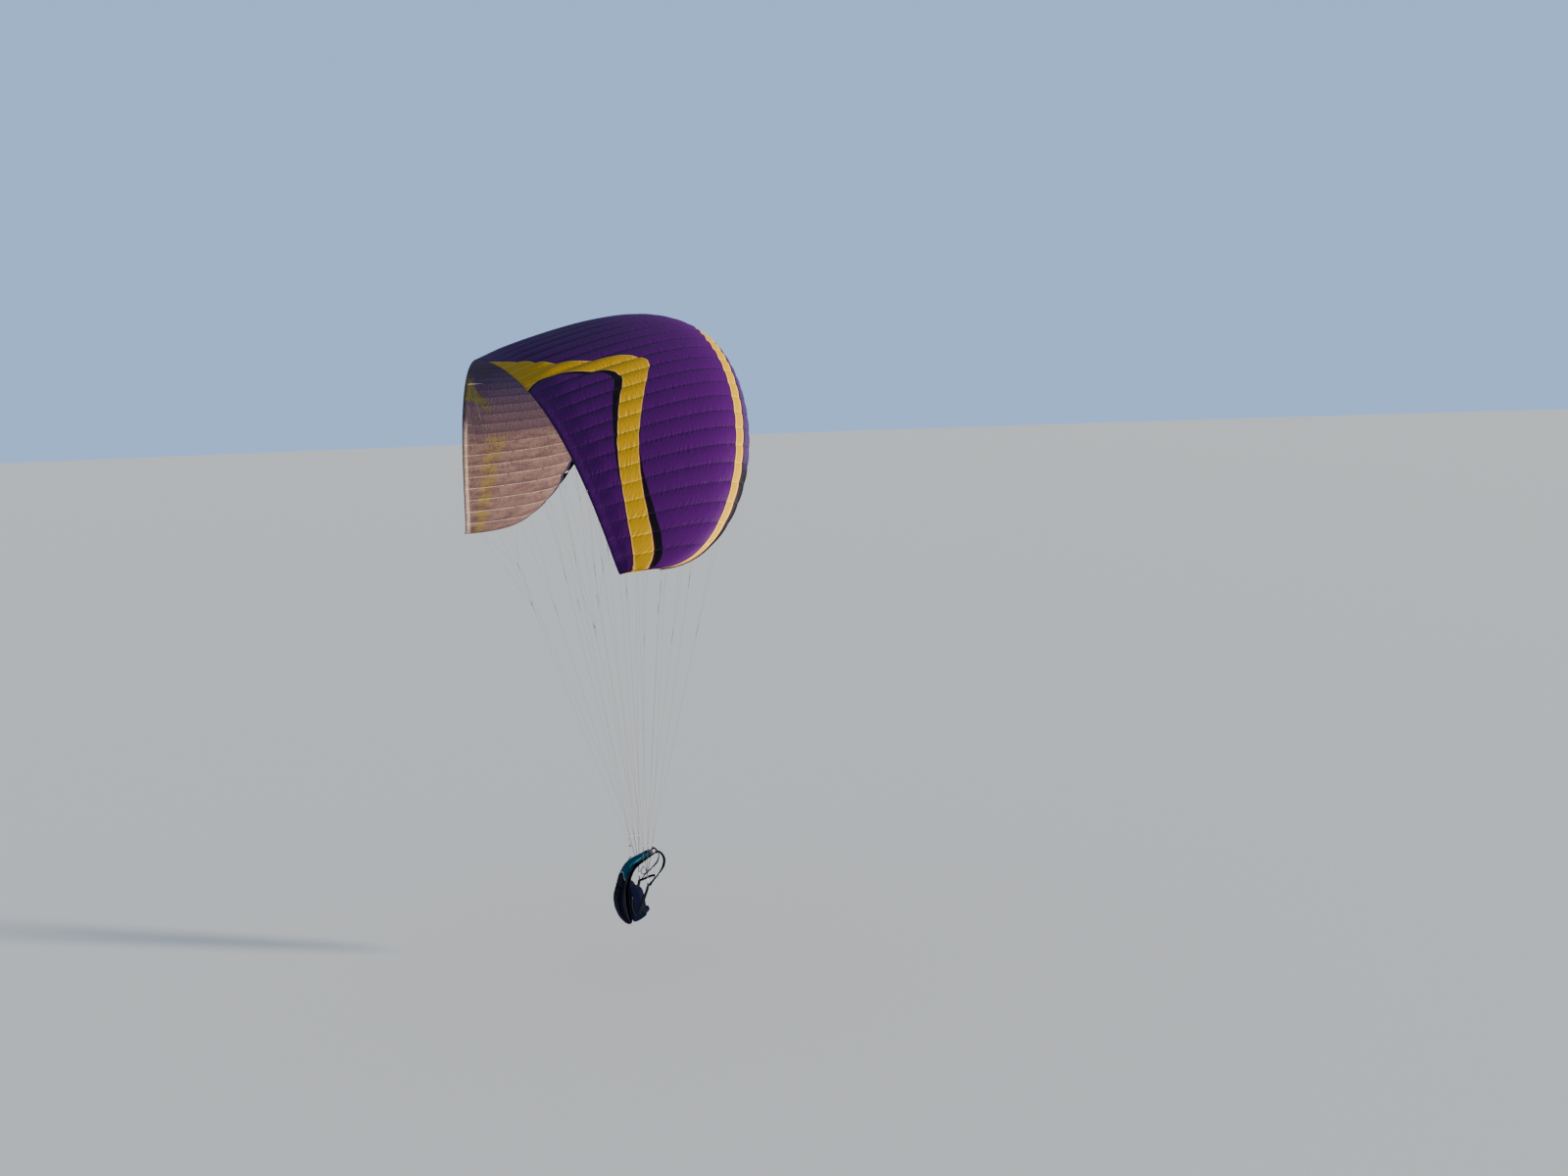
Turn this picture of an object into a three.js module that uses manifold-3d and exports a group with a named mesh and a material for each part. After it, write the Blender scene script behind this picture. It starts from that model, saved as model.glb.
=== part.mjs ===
// Paraglider: a ram-air wing, its lines and risers, two brake handles and the pilot's harness.
// Millimetres, +X the way it flies, +Y to the pilot's left, +Z up.
// The origin is the centre section's quarter-chord point, where the air carries the wing.
import * as THREE from "three";
import { mergeVertices } from "three/addons/utils/BufferGeometryUtils.js";
import Module from "manifold-3d";

const wasm = await Module();
wasm.setup();

// Wing plan: lengths along the curved span, chord and sweep as shares of the half span
const HALF_SPAN_FLAT = 5750;
const CELLS_PER_HALF = 21;
const CELL_TAPER = 0.1;
const TIP_ARC_ANGLE = 1.215;
const ARC_POWER = 1.087;
const ROOT_CHORD = 2794;
const TIP_CHORD_SHARE = 0.175;
const CHORD_POWER = 2.34;
const TIP_SWEEP = 658;
const SWEEP_POWER = 1.114;
const ROOT_INCIDENCE = 0.134;
const TIP_TWIST = 0.106;

// Aerofoil: four-digit section with shares of the chord
const THICKNESS = 0.1635;
const CAMBER = 0.0172;
const CAMBER_AT = 0.232;
const THICKNESS_TERMS = [1.4845, -0.63, -1.758, 1.4215, -0.518];

// Cloth and ribs
const CLOTH = 4;
const RIB = 3;
const GAP = 0.3;
const SHORTEST_EDGE = 0.02;
const CELL_BULGE = 0.075;
const INTAKE_TOP_LIP = 0.012;
const INTAKE_LOW_LIP = 0.075;
const CLOSED_LOW_LIP = 0.024;
const LAST_OPEN_RIB = 17;
// Chord shares of the skins' stations: above zero on the upper side, below zero on the lower side
const UPPER_STATIONS = [1, 0.8, 0.56, 0.34, 0.17, 0.06, 0.013, 0, -INTAKE_TOP_LIP];
const LOWER_STATIONS = [0.22, 0.45, 0.75, 1];
const FLAT_LOWER_CELLS = 15;

// Lines: each row's share of the chord, and the ribs that one main line splits to
const LINE_RADIUS = 1.1;
const LINE_END_GAP = 1.4;
const LINE_PITCH = 3.6;
const SLEEVE_LENGTH = 6;
const INSERT = { depth: 9, width: 20, height: 10 };
const TIP_INSERT = { depth: 9, width: 16, height: 10, startIn: 3, startDown: 3.5 };
const ROWS = [
  { name: "a", chord: 0.09, colour: 0xc2453a, webX: 58 },
  { name: "b", chord: 0.34, colour: 0xd9822b, webX: -12 },
  { name: "c", chord: 0.63, colour: 0xc9c4b4, webX: -84 },
];
const MAIN_RIBS = [[2, 5], [8, 11], [14, 17]];
const MAIN_SPLIT = 0.6;
const TIP_RIBS = [19, 21];
const TIP_LINE_CHORD = 0.42;
const TIP_LINE_SPLIT = 0.84;
const BRAKE_RIBS = [4, 9, 14, 19];
const BRAKE_SPLIT = 0.58;

// Where the pilot's gear hangs below the wing
const HANG_DROP = 7386;
const HANG_FORWARD = 31;
const CARABINER = new THREE.Vector3(HANG_FORWARD, 210, -HANG_DROP - 470);
const CARABINER_SIZE = { height: 92, width: 54, bar: 6, corner: 14 };
const RISER_LENGTH = 520;
const RISER_LEAN = 0.24;
const RISER_WEB = { width: 20, thick: 2.4, pitch: 3.8 };
const RISER_BASE = { height: 62, thick: 10.2, width: 20 };
const MAILLON = { height: 26, width: 30, bar: 2.2, corner: 5 };
const PULLEY = { dropOnRiser: 130, radius: 11, thick: 9, out: 22, back: 26, lineAbove: 0.9 };
const HANDLE = { width: 96, height: 118, strap: 22, thick: 12, tail: 150 };
const HARNESS_HALF_WIDTH = 188;
const SIDE_PANEL_THICK = 8;
const MAIN_WEB = { width: 44, thick: 3 };
const HARNESS_LOOP = { thick: 3, width: 20, stemDepth: 10, stemTop: 570, stemBottom: 614 };
const EYE_SEGMENTS = 5;

const COLOURS = {
  purple: 0x3f2a6b, white: 0xd9d2cc, rib: 0xe6e2da, black: 0x17171c, navy: 0x1c2334,
  teal: 0x1f6f7d, webbing: 0x2a2a2e, metal: 0xb9bcc0, brake: 0xcfd6a8, red: 0xa32626,
};

function finish(colour, roughness = 0.75, metalness = 0) {
  return new THREE.MeshStandardMaterial({ color: colour, roughness, metalness });
}

// Closed meshes from rings and grids of points

function signedVolume(points, faces) {
  let six = 0;
  for (const [a, b, c] of faces) {
    const cross = new THREE.Vector3().crossVectors(points[b], points[c]);
    six += points[a].dot(cross);
  }
  return six / 6;
}

function closedGeometry(points, faces) {
  const outward = signedVolume(points, faces) > 0;
  const index = faces.flatMap(([a, b, c]) => (outward ? [a, b, c] : [a, c, b]));
  const geometry = new THREE.BufferGeometry();
  const flat = points.flatMap((point) => [point.x, point.y, point.z]);
  geometry.setAttribute("position", new THREE.Float32BufferAttribute(flat, 3));
  geometry.setIndex(index);
  return geometry;
}

// A tube through rings of points, closed on itself or with a flat cap at each end
function tube(rings, onItself = false) {
  const count = rings[0].length;
  const faces = [];
  const spans = onItself ? rings.length : rings.length - 1;
  for (let i = 0; i < spans; i += 1) {
    const near = i * count;
    const far = ((i + 1) % rings.length) * count;
    for (let j = 0; j < count; j += 1) {
      const next = (j + 1) % count;
      faces.push([near + j, near + next, far + next], [near + j, far + next, far + j]);
    }
  }
  if (!onItself) {
    const last = (rings.length - 1) * count;
    for (let j = 1; j < count - 1; j += 1) {
      faces.push([0, j + 1, j], [last, last + j, last + j + 1]);
    }
  }
  return closedGeometry(rings.flat(), faces);
}

// A sheet with thickness, from two grids of points that share their layout
function sheet(outer, inner) {
  const rows = outer.length;
  const columns = outer[0].length;
  const points = [...outer.flat(), ...inner.flat()];
  const offset = rows * columns;
  const faces = [];
  const quad = (a, b, c, d) => faces.push([a, b, c], [a, c, d]);
  const at = (i, j) => i * columns + j;
  for (let i = 0; i < rows - 1; i += 1) {
    for (let j = 0; j < columns - 1; j += 1) {
      quad(at(i, j), at(i + 1, j), at(i + 1, j + 1), at(i, j + 1));
      quad(offset + at(i, j), offset + at(i, j + 1), offset + at(i + 1, j + 1), offset + at(i + 1, j));
    }
  }
  const rim = [];
  for (let j = 0; j < columns - 1; j += 1) rim.push(at(0, j));
  for (let i = 0; i < rows - 1; i += 1) rim.push(at(i, columns - 1));
  for (let j = columns - 1; j > 0; j -= 1) rim.push(at(rows - 1, j));
  for (let i = rows - 1; i > 0; i -= 1) rim.push(at(i, 0));
  rim.forEach((a, k) => {
    const b = rim[(k + 1) % rim.length];
    quad(a, b, offset + b, offset + a);
  });
  return closedGeometry(points, faces);
}

function solid(geometry) {
  const bare = geometry.clone();
  bare.deleteAttribute("normal");
  bare.deleteAttribute("uv");
  const merged = mergeVertices(bare, 1e-4);
  const mesh = new wasm.Mesh({
    numProp: 3,
    vertProperties: new Float32Array(merged.attributes.position.array),
    triVerts: new Uint32Array(merged.index.array),
  });
  return new wasm.Manifold(mesh);
}

// Triangles with the points at the ends of every very short edge made one point
function withoutSlivers(positions, corners) {
  const point = (i) => new THREE.Vector3().fromArray(positions, 3 * i);
  const same = Array.from({ length: positions.length / 3 }, (_, i) => i);
  const root = (i) => (same[i] === i ? i : root(same[i]));
  for (let t = 0; t < corners.length; t += 3) {
    for (let k = 0; k < 3; k += 1) {
      const a = corners[t + k];
      const b = corners[t + ((k + 1) % 3)];
      if (point(a).distanceTo(point(b)) < SHORTEST_EDGE) same[root(b)] = root(a);
    }
  }
  // A pair of triangles folded flat onto each other goes too
  const kept = new Map();
  for (let t = 0; t < corners.length; t += 3) {
    const [a, b, c] = [root(corners[t]), root(corners[t + 1]), root(corners[t + 2])];
    if (a === b || b === c || a === c) continue;
    const key = [a, b, c].sort((p, q) => p - q).join();
    if (kept.has(key)) kept.delete(key);
    else kept.set(key, [a, b, c]);
  }
  return [...kept.values()].flat();
}

function united(geometries) {
  let whole = solid(geometries[0]);
  for (const geometry of geometries.slice(1)) whole = whole.add(solid(geometry));
  const mesh = whole.getMesh();
  const rough = new THREE.BufferGeometry();
  rough.setAttribute("position", new THREE.Float32BufferAttribute(mesh.vertProperties, 3));
  rough.setIndex([...mesh.triVerts]);
  const geometry = mergeVertices(rough, 1e-4);
  geometry.setIndex(withoutSlivers(geometry.attributes.position.array, geometry.index.array));
  return geometry;
}

// A rod between two points, with a few flat sides
function rod(from, to, radius, sides = 4) {
  const along = new THREE.Vector3().subVectors(to, from).normalize();
  const helper = Math.abs(along.z) > 0.9 ? new THREE.Vector3(1, 0, 0) : new THREE.Vector3(0, 0, 1);
  const across = new THREE.Vector3().crossVectors(along, helper).normalize();
  const other = new THREE.Vector3().crossVectors(along, across);
  const ring = (centre) => {
    const points = [];
    for (let k = 0; k < sides; k += 1) {
      const turn = (2 * Math.PI * k) / sides;
      const point = centre.clone().addScaledVector(across, radius * Math.cos(turn));
      points.push(point.addScaledVector(other, radius * Math.sin(turn)));
    }
    return points;
  };
  return tube([ring(from), ring(to)]);
}

function block(width, depth, height, centre) {
  return new THREE.BoxGeometry(width, depth, height).translate(centre.x, centre.y, centre.z);
}

// A flat or padded strap: the section is a rectangle with cut corners, wide along its own axis
function strap(stations, wideAxis, onItself = false) {
  const count = stations.length;
  const rings = stations.map((station, i) => {
    const before = stations[onItself ? (i + count - 1) % count : Math.max(i - 1, 0)].at;
    const after = stations[onItself ? (i + 1) % count : Math.min(i + 1, count - 1)].at;
    const along = station.along ?? new THREE.Vector3().subVectors(after, before).normalize();
    const wide = wideAxis.clone().addScaledVector(along, -wideAxis.dot(along)).normalize();
    const thin = new THREE.Vector3().crossVectors(along, wide);
    const w = station.width / 2;
    const t = station.thick / 2;
    const cut = Math.min(w, t) * (station.round ?? 0.5);
    const corners = [
      [w, t - cut], [w - cut, t], [cut - w, t], [-w, t - cut],
      [-w, cut - t], [cut - w, -t], [w - cut, -t], [w, cut - t],
    ];
    return corners.map(([u, v]) => station.at.clone().addScaledVector(wide, u).addScaledVector(thin, v));
  });
  return tube(rings, onItself);
}

// The wing's shape

const ARC_STEPS = 400;
const arcTable = [{ y: 0, z: 0 }];
for (let i = 1; i <= ARC_STEPS; i += 1) {
  const angle = TIP_ARC_ANGLE * ((i - 0.5) / ARC_STEPS) ** ARC_POWER;
  const step = HALF_SPAN_FLAT / ARC_STEPS;
  const last = arcTable[i - 1];
  arcTable.push({ y: last.y + step * Math.cos(angle), z: last.z - step * Math.sin(angle) });
}

function arcPoint(share) {
  const place = Math.min(share * ARC_STEPS, ARC_STEPS - 1e-9);
  const i = Math.floor(place);
  const part = place - i;
  const a = arcTable[i];
  const b = arcTable[i + 1];
  return { y: a.y + (b.y - a.y) * part, z: a.z + (b.z - a.z) * part };
}

// Share of the half span at rib k: cells narrow a little towards the tip
function ribShare(k) {
  const even = k / CELLS_PER_HALF;
  return even * (1 + CELL_TAPER * (1 - even));
}

// The section at a share of the half span: its chord, nose and the directions of its own plane
function section(share) {
  const side = Math.sign(share) || 1;
  const a = Math.abs(share);
  const angle = TIP_ARC_ANGLE * a ** ARC_POWER;
  const roundness = Math.sqrt(Math.max(0, 1 - a ** CHORD_POWER));
  const chord = ROOT_CHORD * (TIP_CHORD_SHARE + (1 - TIP_CHORD_SHARE) * roundness);
  const incidence = ROOT_INCIDENCE + TIP_TWIST * a;
  const outward = new THREE.Vector3(0, side * Math.sin(angle), Math.cos(angle));
  const back = new THREE.Vector3(-Math.cos(incidence), 0, 0).addScaledVector(outward, -Math.sin(incidence));
  const up = new THREE.Vector3(-Math.sin(incidence), 0, 0).addScaledVector(outward, Math.cos(incidence));
  const arc = arcPoint(a);
  const trailingX = -0.75 * ROOT_CHORD + TIP_SWEEP * a ** SWEEP_POWER;
  const nose = new THREE.Vector3(trailingX + 0.75 * chord, side * arc.y, arc.z).addScaledVector(back, -chord / 4);
  return { chord, nose, back, up };
}

function camberAt(x) {
  const front = (CAMBER / CAMBER_AT ** 2) * (2 * CAMBER_AT * x - x * x);
  const rear = (CAMBER / (1 - CAMBER_AT) ** 2) * (1 - 2 * CAMBER_AT + 2 * CAMBER_AT * x - x * x);
  return x < CAMBER_AT ? front : rear;
}

// Height above the chord line of the upper or lower side, never thinner than its own cloth
function heightAt(station, chord) {
  const x = Math.abs(station);
  const [root, first, second, third, fourth] = THICKNESS_TERMS;
  const shape = root * Math.sqrt(x) + first * x + second * x ** 2 + third * x ** 3 + fourth * x ** 4;
  const least = x > 0.5 ? CLOTH + GAP / 2 : 0;
  const half = Math.max(THICKNESS * shape * chord, least);
  return camberAt(x) * chord + (station < 0 ? -half : half);
}

// Outline points in the section's own plane, with the cloth's inner points beside them
function skinOutline(stations, chord) {
  const outer = stations.map((s) => ({ u: Math.abs(s) * chord, v: heightAt(s, chord) }));
  return outer.map((point, i) => {
    const a = outer[Math.max(i - 1, 0)];
    const b = outer[Math.min(i + 1, outer.length - 1)];
    const length = Math.hypot(b.u - a.u, b.v - a.v);
    const inward = { u: -(b.v - a.v) / length, v: (b.u - a.u) / length };
    const rear = Math.abs(stations[i]) > 0.97;
    const inner = rear
      ? { u: point.u, v: point.v + Math.sign(inward.v) * CLOTH }
      : { u: point.u + inward.u * CLOTH, v: point.v + inward.v * CLOTH };
    return { outer: point, inner, inward };
  });
}

function placed(part, u, v) {
  return part.nose.clone().addScaledVector(part.back, u).addScaledVector(part.up, v);
}

// How far the cloth balloons between two ribs, fading at the nose and the trailing edge
function bulgeAt(station, width) {
  const x = Math.abs(station);
  return CELL_BULGE * width * Math.min(1, 7 * (1 - x)) * Math.min(1, 0.35 + 5 * x);
}

// Every rib, and the middle of each cell from the first ballooned one, numbered by its rib plus a half
function cellPlaces(firstBallooned) {
  const places = [];
  for (let k = 0; k <= CELLS_PER_HALF; k += 1) {
    places.push(k);
    if (k < CELLS_PER_HALF && k >= firstBallooned) places.push(k + 0.5);
  }
  return places;
}

function placeShare(place) {
  return (ribShare(Math.floor(place)) + ribShare(Math.ceil(place))) / 2;
}

// The cloth's outline at a rib or at the middle of a cell, in depth from its outer face
function clothLine(side, place, stationsAt, depth) {
  const share = placeShare(place);
  const part = section(side * share);
  const stations = stationsAt(share);
  const width = HALF_SPAN_FLAT / CELLS_PER_HALF;
  return skinOutline(stations, part.chord).map((point, j) => {
    const lift = place % 1 ? bulgeAt(stations[j], width) : 0;
    const from = depth === 0 ? point.outer : point.inner;
    const inward = Math.max(depth - CLOTH, Math.min(depth, 0)) - lift;
    return placed(part, from.u + point.inward.u * inward, from.v + point.inward.v * inward);
  });
}

function cloth(side, stationsAt, firstBallooned) {
  const places = cellPlaces(firstBallooned);
  const outer = places.map((place) => clothLine(side, place, stationsAt, 0));
  const inner = places.map((place) => clothLine(side, place, stationsAt, CLOTH));
  // The centre section keeps to its own side of the plane of symmetry
  for (const grid of [outer, inner]) grid[0].forEach((point) => { point.y = (side * GAP) / 2; });
  return sheet(outer, inner);
}

function upperStations() {
  return UPPER_STATIONS;
}

function upperSurface(side) {
  return cloth(side, upperStations, 0);
}

// Chord share of the lower cloth's front edge: the air intakes are open in the middle of the wing
function lowLip(share) {
  const open = ribShare(LAST_OPEN_RIB);
  const closed = ribShare(LAST_OPEN_RIB + 1);
  const part = THREE.MathUtils.clamp((Math.abs(share) - open) / (closed - open), 0, 1);
  return INTAKE_LOW_LIP + (CLOSED_LOW_LIP - INTAKE_LOW_LIP) * part;
}

function lowerStations(share) {
  return [lowLip(share), ...LOWER_STATIONS].map((x) => -x);
}

function lowerCloth(side) {
  return cloth(side, lowerStations, FLAT_LOWER_CELLS);
}

// A rib's outline some way towards the middle of the next cell, clear of the upper cloth
// and either sunk into the lower cloth or clear of it too
function ribRing(side, place, towards, distance, intoLower) {
  const lowDepth = intoLower ? CLOTH * 0.6 : CLOTH + GAP * 1.5;
  const outlineAt = (at) => [
    ...clothLine(side, at, upperStations, CLOTH + GAP * 1.5).slice(1, -1),
    ...clothLine(side, at, lowerStations, lowDepth).slice(0, -1),
  ];
  const own = outlineAt(place);
  const next = outlineAt(place + towards / 2);
  const halfCell = (Math.abs(ribShare(place + towards) - ribShare(place)) * HALF_SPAN_FLAT) / 2;
  return own.map((point, j) => point.clone().lerp(next[j], distance / halfCell));
}

// The tip's rib stands a little inside the cloth's end
function ribPlate(side, k) {
  const atTip = k === CELLS_PER_HALF;
  const near = ribRing(side, k, -1, atTip ? RIB * 1.5 : RIB / 2, true);
  const far = ribRing(side, k, atTip ? -1 : 1, RIB / 2, true);
  return flatPlate([near, far]);
}

function centreRib() {
  return flatPlate([ribRing(-1, 0, 1, RIB / 2, false), ribRing(1, 0, 1, RIB / 2, false)]);
}

// A plate between two copies of one outline, its flat faces cut into triangles by earcut
function flatPlate([near, far]) {
  const count = near.length;
  const origin = near[0];
  const u = new THREE.Vector3().subVectors(near[1], origin).normalize();
  const normal = new THREE.Vector3().subVectors(far[0], origin).normalize();
  const v = new THREE.Vector3().crossVectors(normal, u);
  const flat = near.map((point) => {
    const from = new THREE.Vector3().subVectors(point, origin);
    return new THREE.Vector2(from.dot(u), from.dot(v));
  });
  const clockwise = THREE.ShapeUtils.area(flat) < 0;
  const cap = THREE.ShapeUtils.triangulateShape(clockwise ? [...flat].reverse() : flat, []);
  const back = (k) => (clockwise ? count - 1 - k : k);
  const faces = [];
  for (const [a, b, c] of cap) {
    const [p, q, r] = [back(a), back(b), back(c)];
    faces.push(clockwise ? [p, q, r] : [p, r, q], clockwise ? [count + p, count + r, count + q] : [count + p, count + q, count + r]);
  }
  for (let j = 0; j < count; j += 1) {
    const next = (j + 1) % count;
    faces.push([j, next, count + next], [j, count + next, count + j]);
  }
  return closedGeometry([...near, ...far], faces);
}

function lowerSurface(side) {
  const pieces = [lowerCloth(side)];
  for (let k = 1; k <= CELLS_PER_HALF; k += 1) {
    pieces.push(ribPlate(side, k));
  }
  return united(pieces);
}

// Lines

function attachment(side, rib, chordShare) {
  const part = section(side * ribShare(rib));
  const x = chordShare;
  const slack = LINE_END_GAP;
  const v = heightAt(-x, part.chord) - slack;
  return placed(part, x * part.chord, v);
}

function riserTop(side, webX) {
  const rise = Math.sqrt(RISER_LENGTH ** 2 - webX ** 2);
  const y = side * (CARABINER.y + rise * Math.sin(RISER_LEAN));
  return new THREE.Vector3(CARABINER.x + webX, y, CARABINER.z + rise * Math.cos(RISER_LEAN));
}

// One main line that splits to several ends. The strands part side by side inside a short sleeve,
// which is wide enough for every strand to leave by its end.
function splitLine(side, foot, ends, share) {
  const middle = new THREE.Vector3();
  for (const end of ends) middle.addScaledVector(end, 1 / ends.length);
  const split = foot.clone().lerp(middle, share);
  const along = new THREE.Vector3().subVectors(split, foot).normalize();
  const across = new THREE.Vector3(0, side, 0);
  across.addScaledVector(along, -across.dot(along)).normalize();
  const half = SLEEVE_LENGTH / 2;
  const pieces = [rod(foot, split, LINE_RADIUS)];
  let reach = 0;
  ends.forEach((end, i) => {
    const start = split.clone().addScaledVector(across, LINE_PITCH * (i - (ends.length - 1) / 2));
    const strand = new THREE.Vector3().subVectors(end, start).normalize();
    const leaves = start.clone().addScaledVector(strand, half / strand.dot(along));
    reach = Math.max(reach, leaves.sub(split).addScaledVector(along, -half).length());
    pieces.push(rod(start, end, LINE_RADIUS));
  });
  const sides = 6;
  const radius = (reach + LINE_RADIUS * 1.6) / Math.cos(Math.PI / sides);
  const low = split.clone().addScaledVector(along, -half);
  const high = split.clone().addScaledVector(along, half);
  pieces.push(rod(low, high, radius, sides));
  return pieces;
}

function lineFoot(side, webX) {
  const insertMiddle = MAILLON.height + MAILLON.bar + GAP + INSERT.height / 2;
  return riserTop(side, webX).add(new THREE.Vector3(0, 0, insertMiddle));
}

// Each row's main lines leave their plastic insert side by side
function rowLines(side, row) {
  const foot = lineFoot(side, row.webX);
  const pieces = [block(INSERT.depth, INSERT.width, INSERT.height, foot)];
  MAIN_RIBS.forEach((ribs, i) => {
    const ends = ribs.map((rib) => attachment(side, rib, row.chord));
    const start = foot.clone();
    start.y += side * LINE_PITCH * (i - (MAIN_RIBS.length - 1) / 2);
    pieces.push(...splitLine(side, start, ends, MAIN_SPLIT));
  });
  return united(pieces);
}

// The tip line's own insert stands beside the middle row's insert
function tipLines(side) {
  const middle = lineFoot(side, ROWS[1].webX);
  middle.y += side * (INSERT.width / 2 + GAP + TIP_INSERT.width / 2);
  const foot = middle.clone().add(new THREE.Vector3(0, -side * TIP_INSERT.startIn, -TIP_INSERT.startDown));
  const ends = TIP_RIBS.map((rib) => attachment(side, rib, TIP_LINE_CHORD));
  const insert = block(TIP_INSERT.depth, TIP_INSERT.width, TIP_INSERT.height, middle);
  return united([insert, ...splitLine(side, foot, ends, TIP_LINE_SPLIT)]);
}

function pulleyCentre(side) {
  const web = ROWS[2].webX;
  const top = riserTop(side, web);
  const share = 1 - PULLEY.dropOnRiser / RISER_LENGTH;
  const onWeb = new THREE.Vector3(CARABINER.x, side * CARABINER.y, CARABINER.z).lerp(top, share);
  return onWeb.add(new THREE.Vector3(-PULLEY.back, side * PULLEY.out, 0));
}

function trailingEnd(side, rib) {
  const part = section(side * ribShare(rib));
  return placed(part, part.chord * 0.998, heightAt(-1, part.chord) - LINE_END_GAP);
}

function brakeLines(side) {
  const foot = pulleyCentre(side).add(new THREE.Vector3(0, 0, PULLEY.radius + PULLEY.lineAbove));
  const ends = BRAKE_RIBS.map((rib) => trailingEnd(side, rib));
  return united(splitLine(side, foot, ends, BRAKE_SPLIT));
}

// Links, risers and pulleys

// A metal ring in the plane of Y and Z: a rounded rectangle of round bar
function ringOfBar(centre, { height, width, bar, corner }, steps, sides) {
  const path = [];
  const y = width / 2 - corner;
  const z = height / 2 - corner;
  const quarters = [[1, 1], [-1, 1], [-1, -1], [1, -1]];
  quarters.forEach(([sy, sz], q) => {
    for (let k = 0; k <= steps; k += 1) {
      const turn = ((q + k / steps) * Math.PI) / 2;
      path.push({ y: sy * y + corner * Math.cos(turn), z: sz * z + corner * Math.sin(turn) });
    }
  });
  const rings = path.map((point, i) => {
    const before = path[(i + path.length - 1) % path.length];
    const after = path[(i + 1) % path.length];
    const along = new THREE.Vector3(0, after.y - before.y, after.z - before.z).normalize();
    const out = new THREE.Vector3(0, along.z, -along.y);
    const middle = new THREE.Vector3(centre.x, centre.y + point.y, centre.z + point.z);
    const ring = [];
    for (let s = 0; s < sides; s += 1) {
      const turn = (2 * Math.PI * s) / sides;
      const spot = middle.clone().addScaledVector(out, bar * Math.cos(turn));
      ring.push(spot.add(new THREE.Vector3(bar * Math.sin(turn), 0, 0)));
    }
    return ring;
  });
  return tube(rings, true);
}

// A sewn eye round a bar that lies along Y, its flat-sided hole clear of the bar all round
function eye(centre, bar, thick, width) {
  const inside = (bar + GAP) / Math.cos(Math.PI / (2 * EYE_SEGMENTS));
  const outline = new THREE.Shape().absarc(0, 0, inside + thick, 0, 2 * Math.PI, false);
  outline.holes.push(new THREE.Path().absarc(0, 0, inside, 0, 2 * Math.PI, true));
  const settings = { depth: width, bevelEnabled: false, curveSegments: EYE_SEGMENTS };
  const geometry = new THREE.ExtrudeGeometry(outline, settings);
  geometry.rotateX(Math.PI / 2).translate(centre.x, centre.y + width / 2, centre.z);
  return geometry;
}

function riserWeb(side, row) {
  const top = riserTop(side, row.webX);
  const start = new THREE.Vector3(CARABINER.x, side * CARABINER.y, CARABINER.z + RISER_BASE.height + GAP);
  const order = ROWS.indexOf(row) - 1;
  start.x -= order * RISER_WEB.pitch;
  const end = top.clone().add(new THREE.Vector3(0, 0, -MAILLON.bar - GAP - 1));
  const straight = new THREE.Vector3(0, 0, 14);
  const route = [start, start.clone().add(straight), end.clone().sub(straight), end];
  const web = { width: RISER_WEB.width, thick: RISER_WEB.thick, round: 0.3 };
  const body = strap(route.map((at) => ({ at, ...web })), new THREE.Vector3(0, 1, 0));
  return united([eye(top, MAILLON.bar, RISER_WEB.thick, RISER_WEB.width - 6), body]);
}

function riserBase(side) {
  const bar = new THREE.Vector3(CARABINER.x, side * CARABINER.y, CARABINER.z);
  const { height, thick, width } = RISER_BASE;
  const bottom = CARABINER_SIZE.bar + GAP + 1;
  const middle = bar.clone().add(new THREE.Vector3(0, 0, (height + bottom) / 2));
  return united([eye(bar, CARABINER_SIZE.bar, RISER_WEB.thick, width), block(thick, width, height - bottom, middle)]);
}

function maillon(side, row) {
  const top = riserTop(side, row.webX);
  const centre = top.clone().add(new THREE.Vector3(0, 0, MAILLON.height / 2));
  return ringOfBar(centre, MAILLON, 1, 5);
}

function pulley(side) {
  const centre = pulleyCentre(side);
  const wheel = new THREE.CylinderGeometry(PULLEY.radius, PULLEY.radius, PULLEY.thick, 12);
  wheel.translate(centre.x, centre.y, centre.z);
  const web = ROWS[2].webX;
  const share = 1 - PULLEY.dropOnRiser / RISER_LENGTH;
  const onWeb = new THREE.Vector3(CARABINER.x, side * CARABINER.y, CARABINER.z).lerp(riserTop(side, web), share);
  const inner = onWeb.clone().add(new THREE.Vector3(-RISER_WEB.thick / 2 - 2, 0, 0));
  const tie = { width: 8, thick: 4, round: 0.3 };
  const arm = strap([{ at: inner, ...tie }, { at: centre, ...tie }], new THREE.Vector3(0, 0, 1));
  return united([wheel, arm]);
}

// Brake handles: a webbing loop under a straight stretch of line

function handleTop(side) {
  const centre = pulleyCentre(side);
  return centre.add(new THREE.Vector3(0, 0, -PULLEY.radius - HANDLE.tail));
}

function brakeTail(side) {
  const low = handleTop(side);
  const high = low.clone().add(new THREE.Vector3(0, 0, HANDLE.tail - GAP));
  return rod(low.add(new THREE.Vector3(0, 0, GAP)), high, LINE_RADIUS * 1.3, 6);
}

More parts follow.
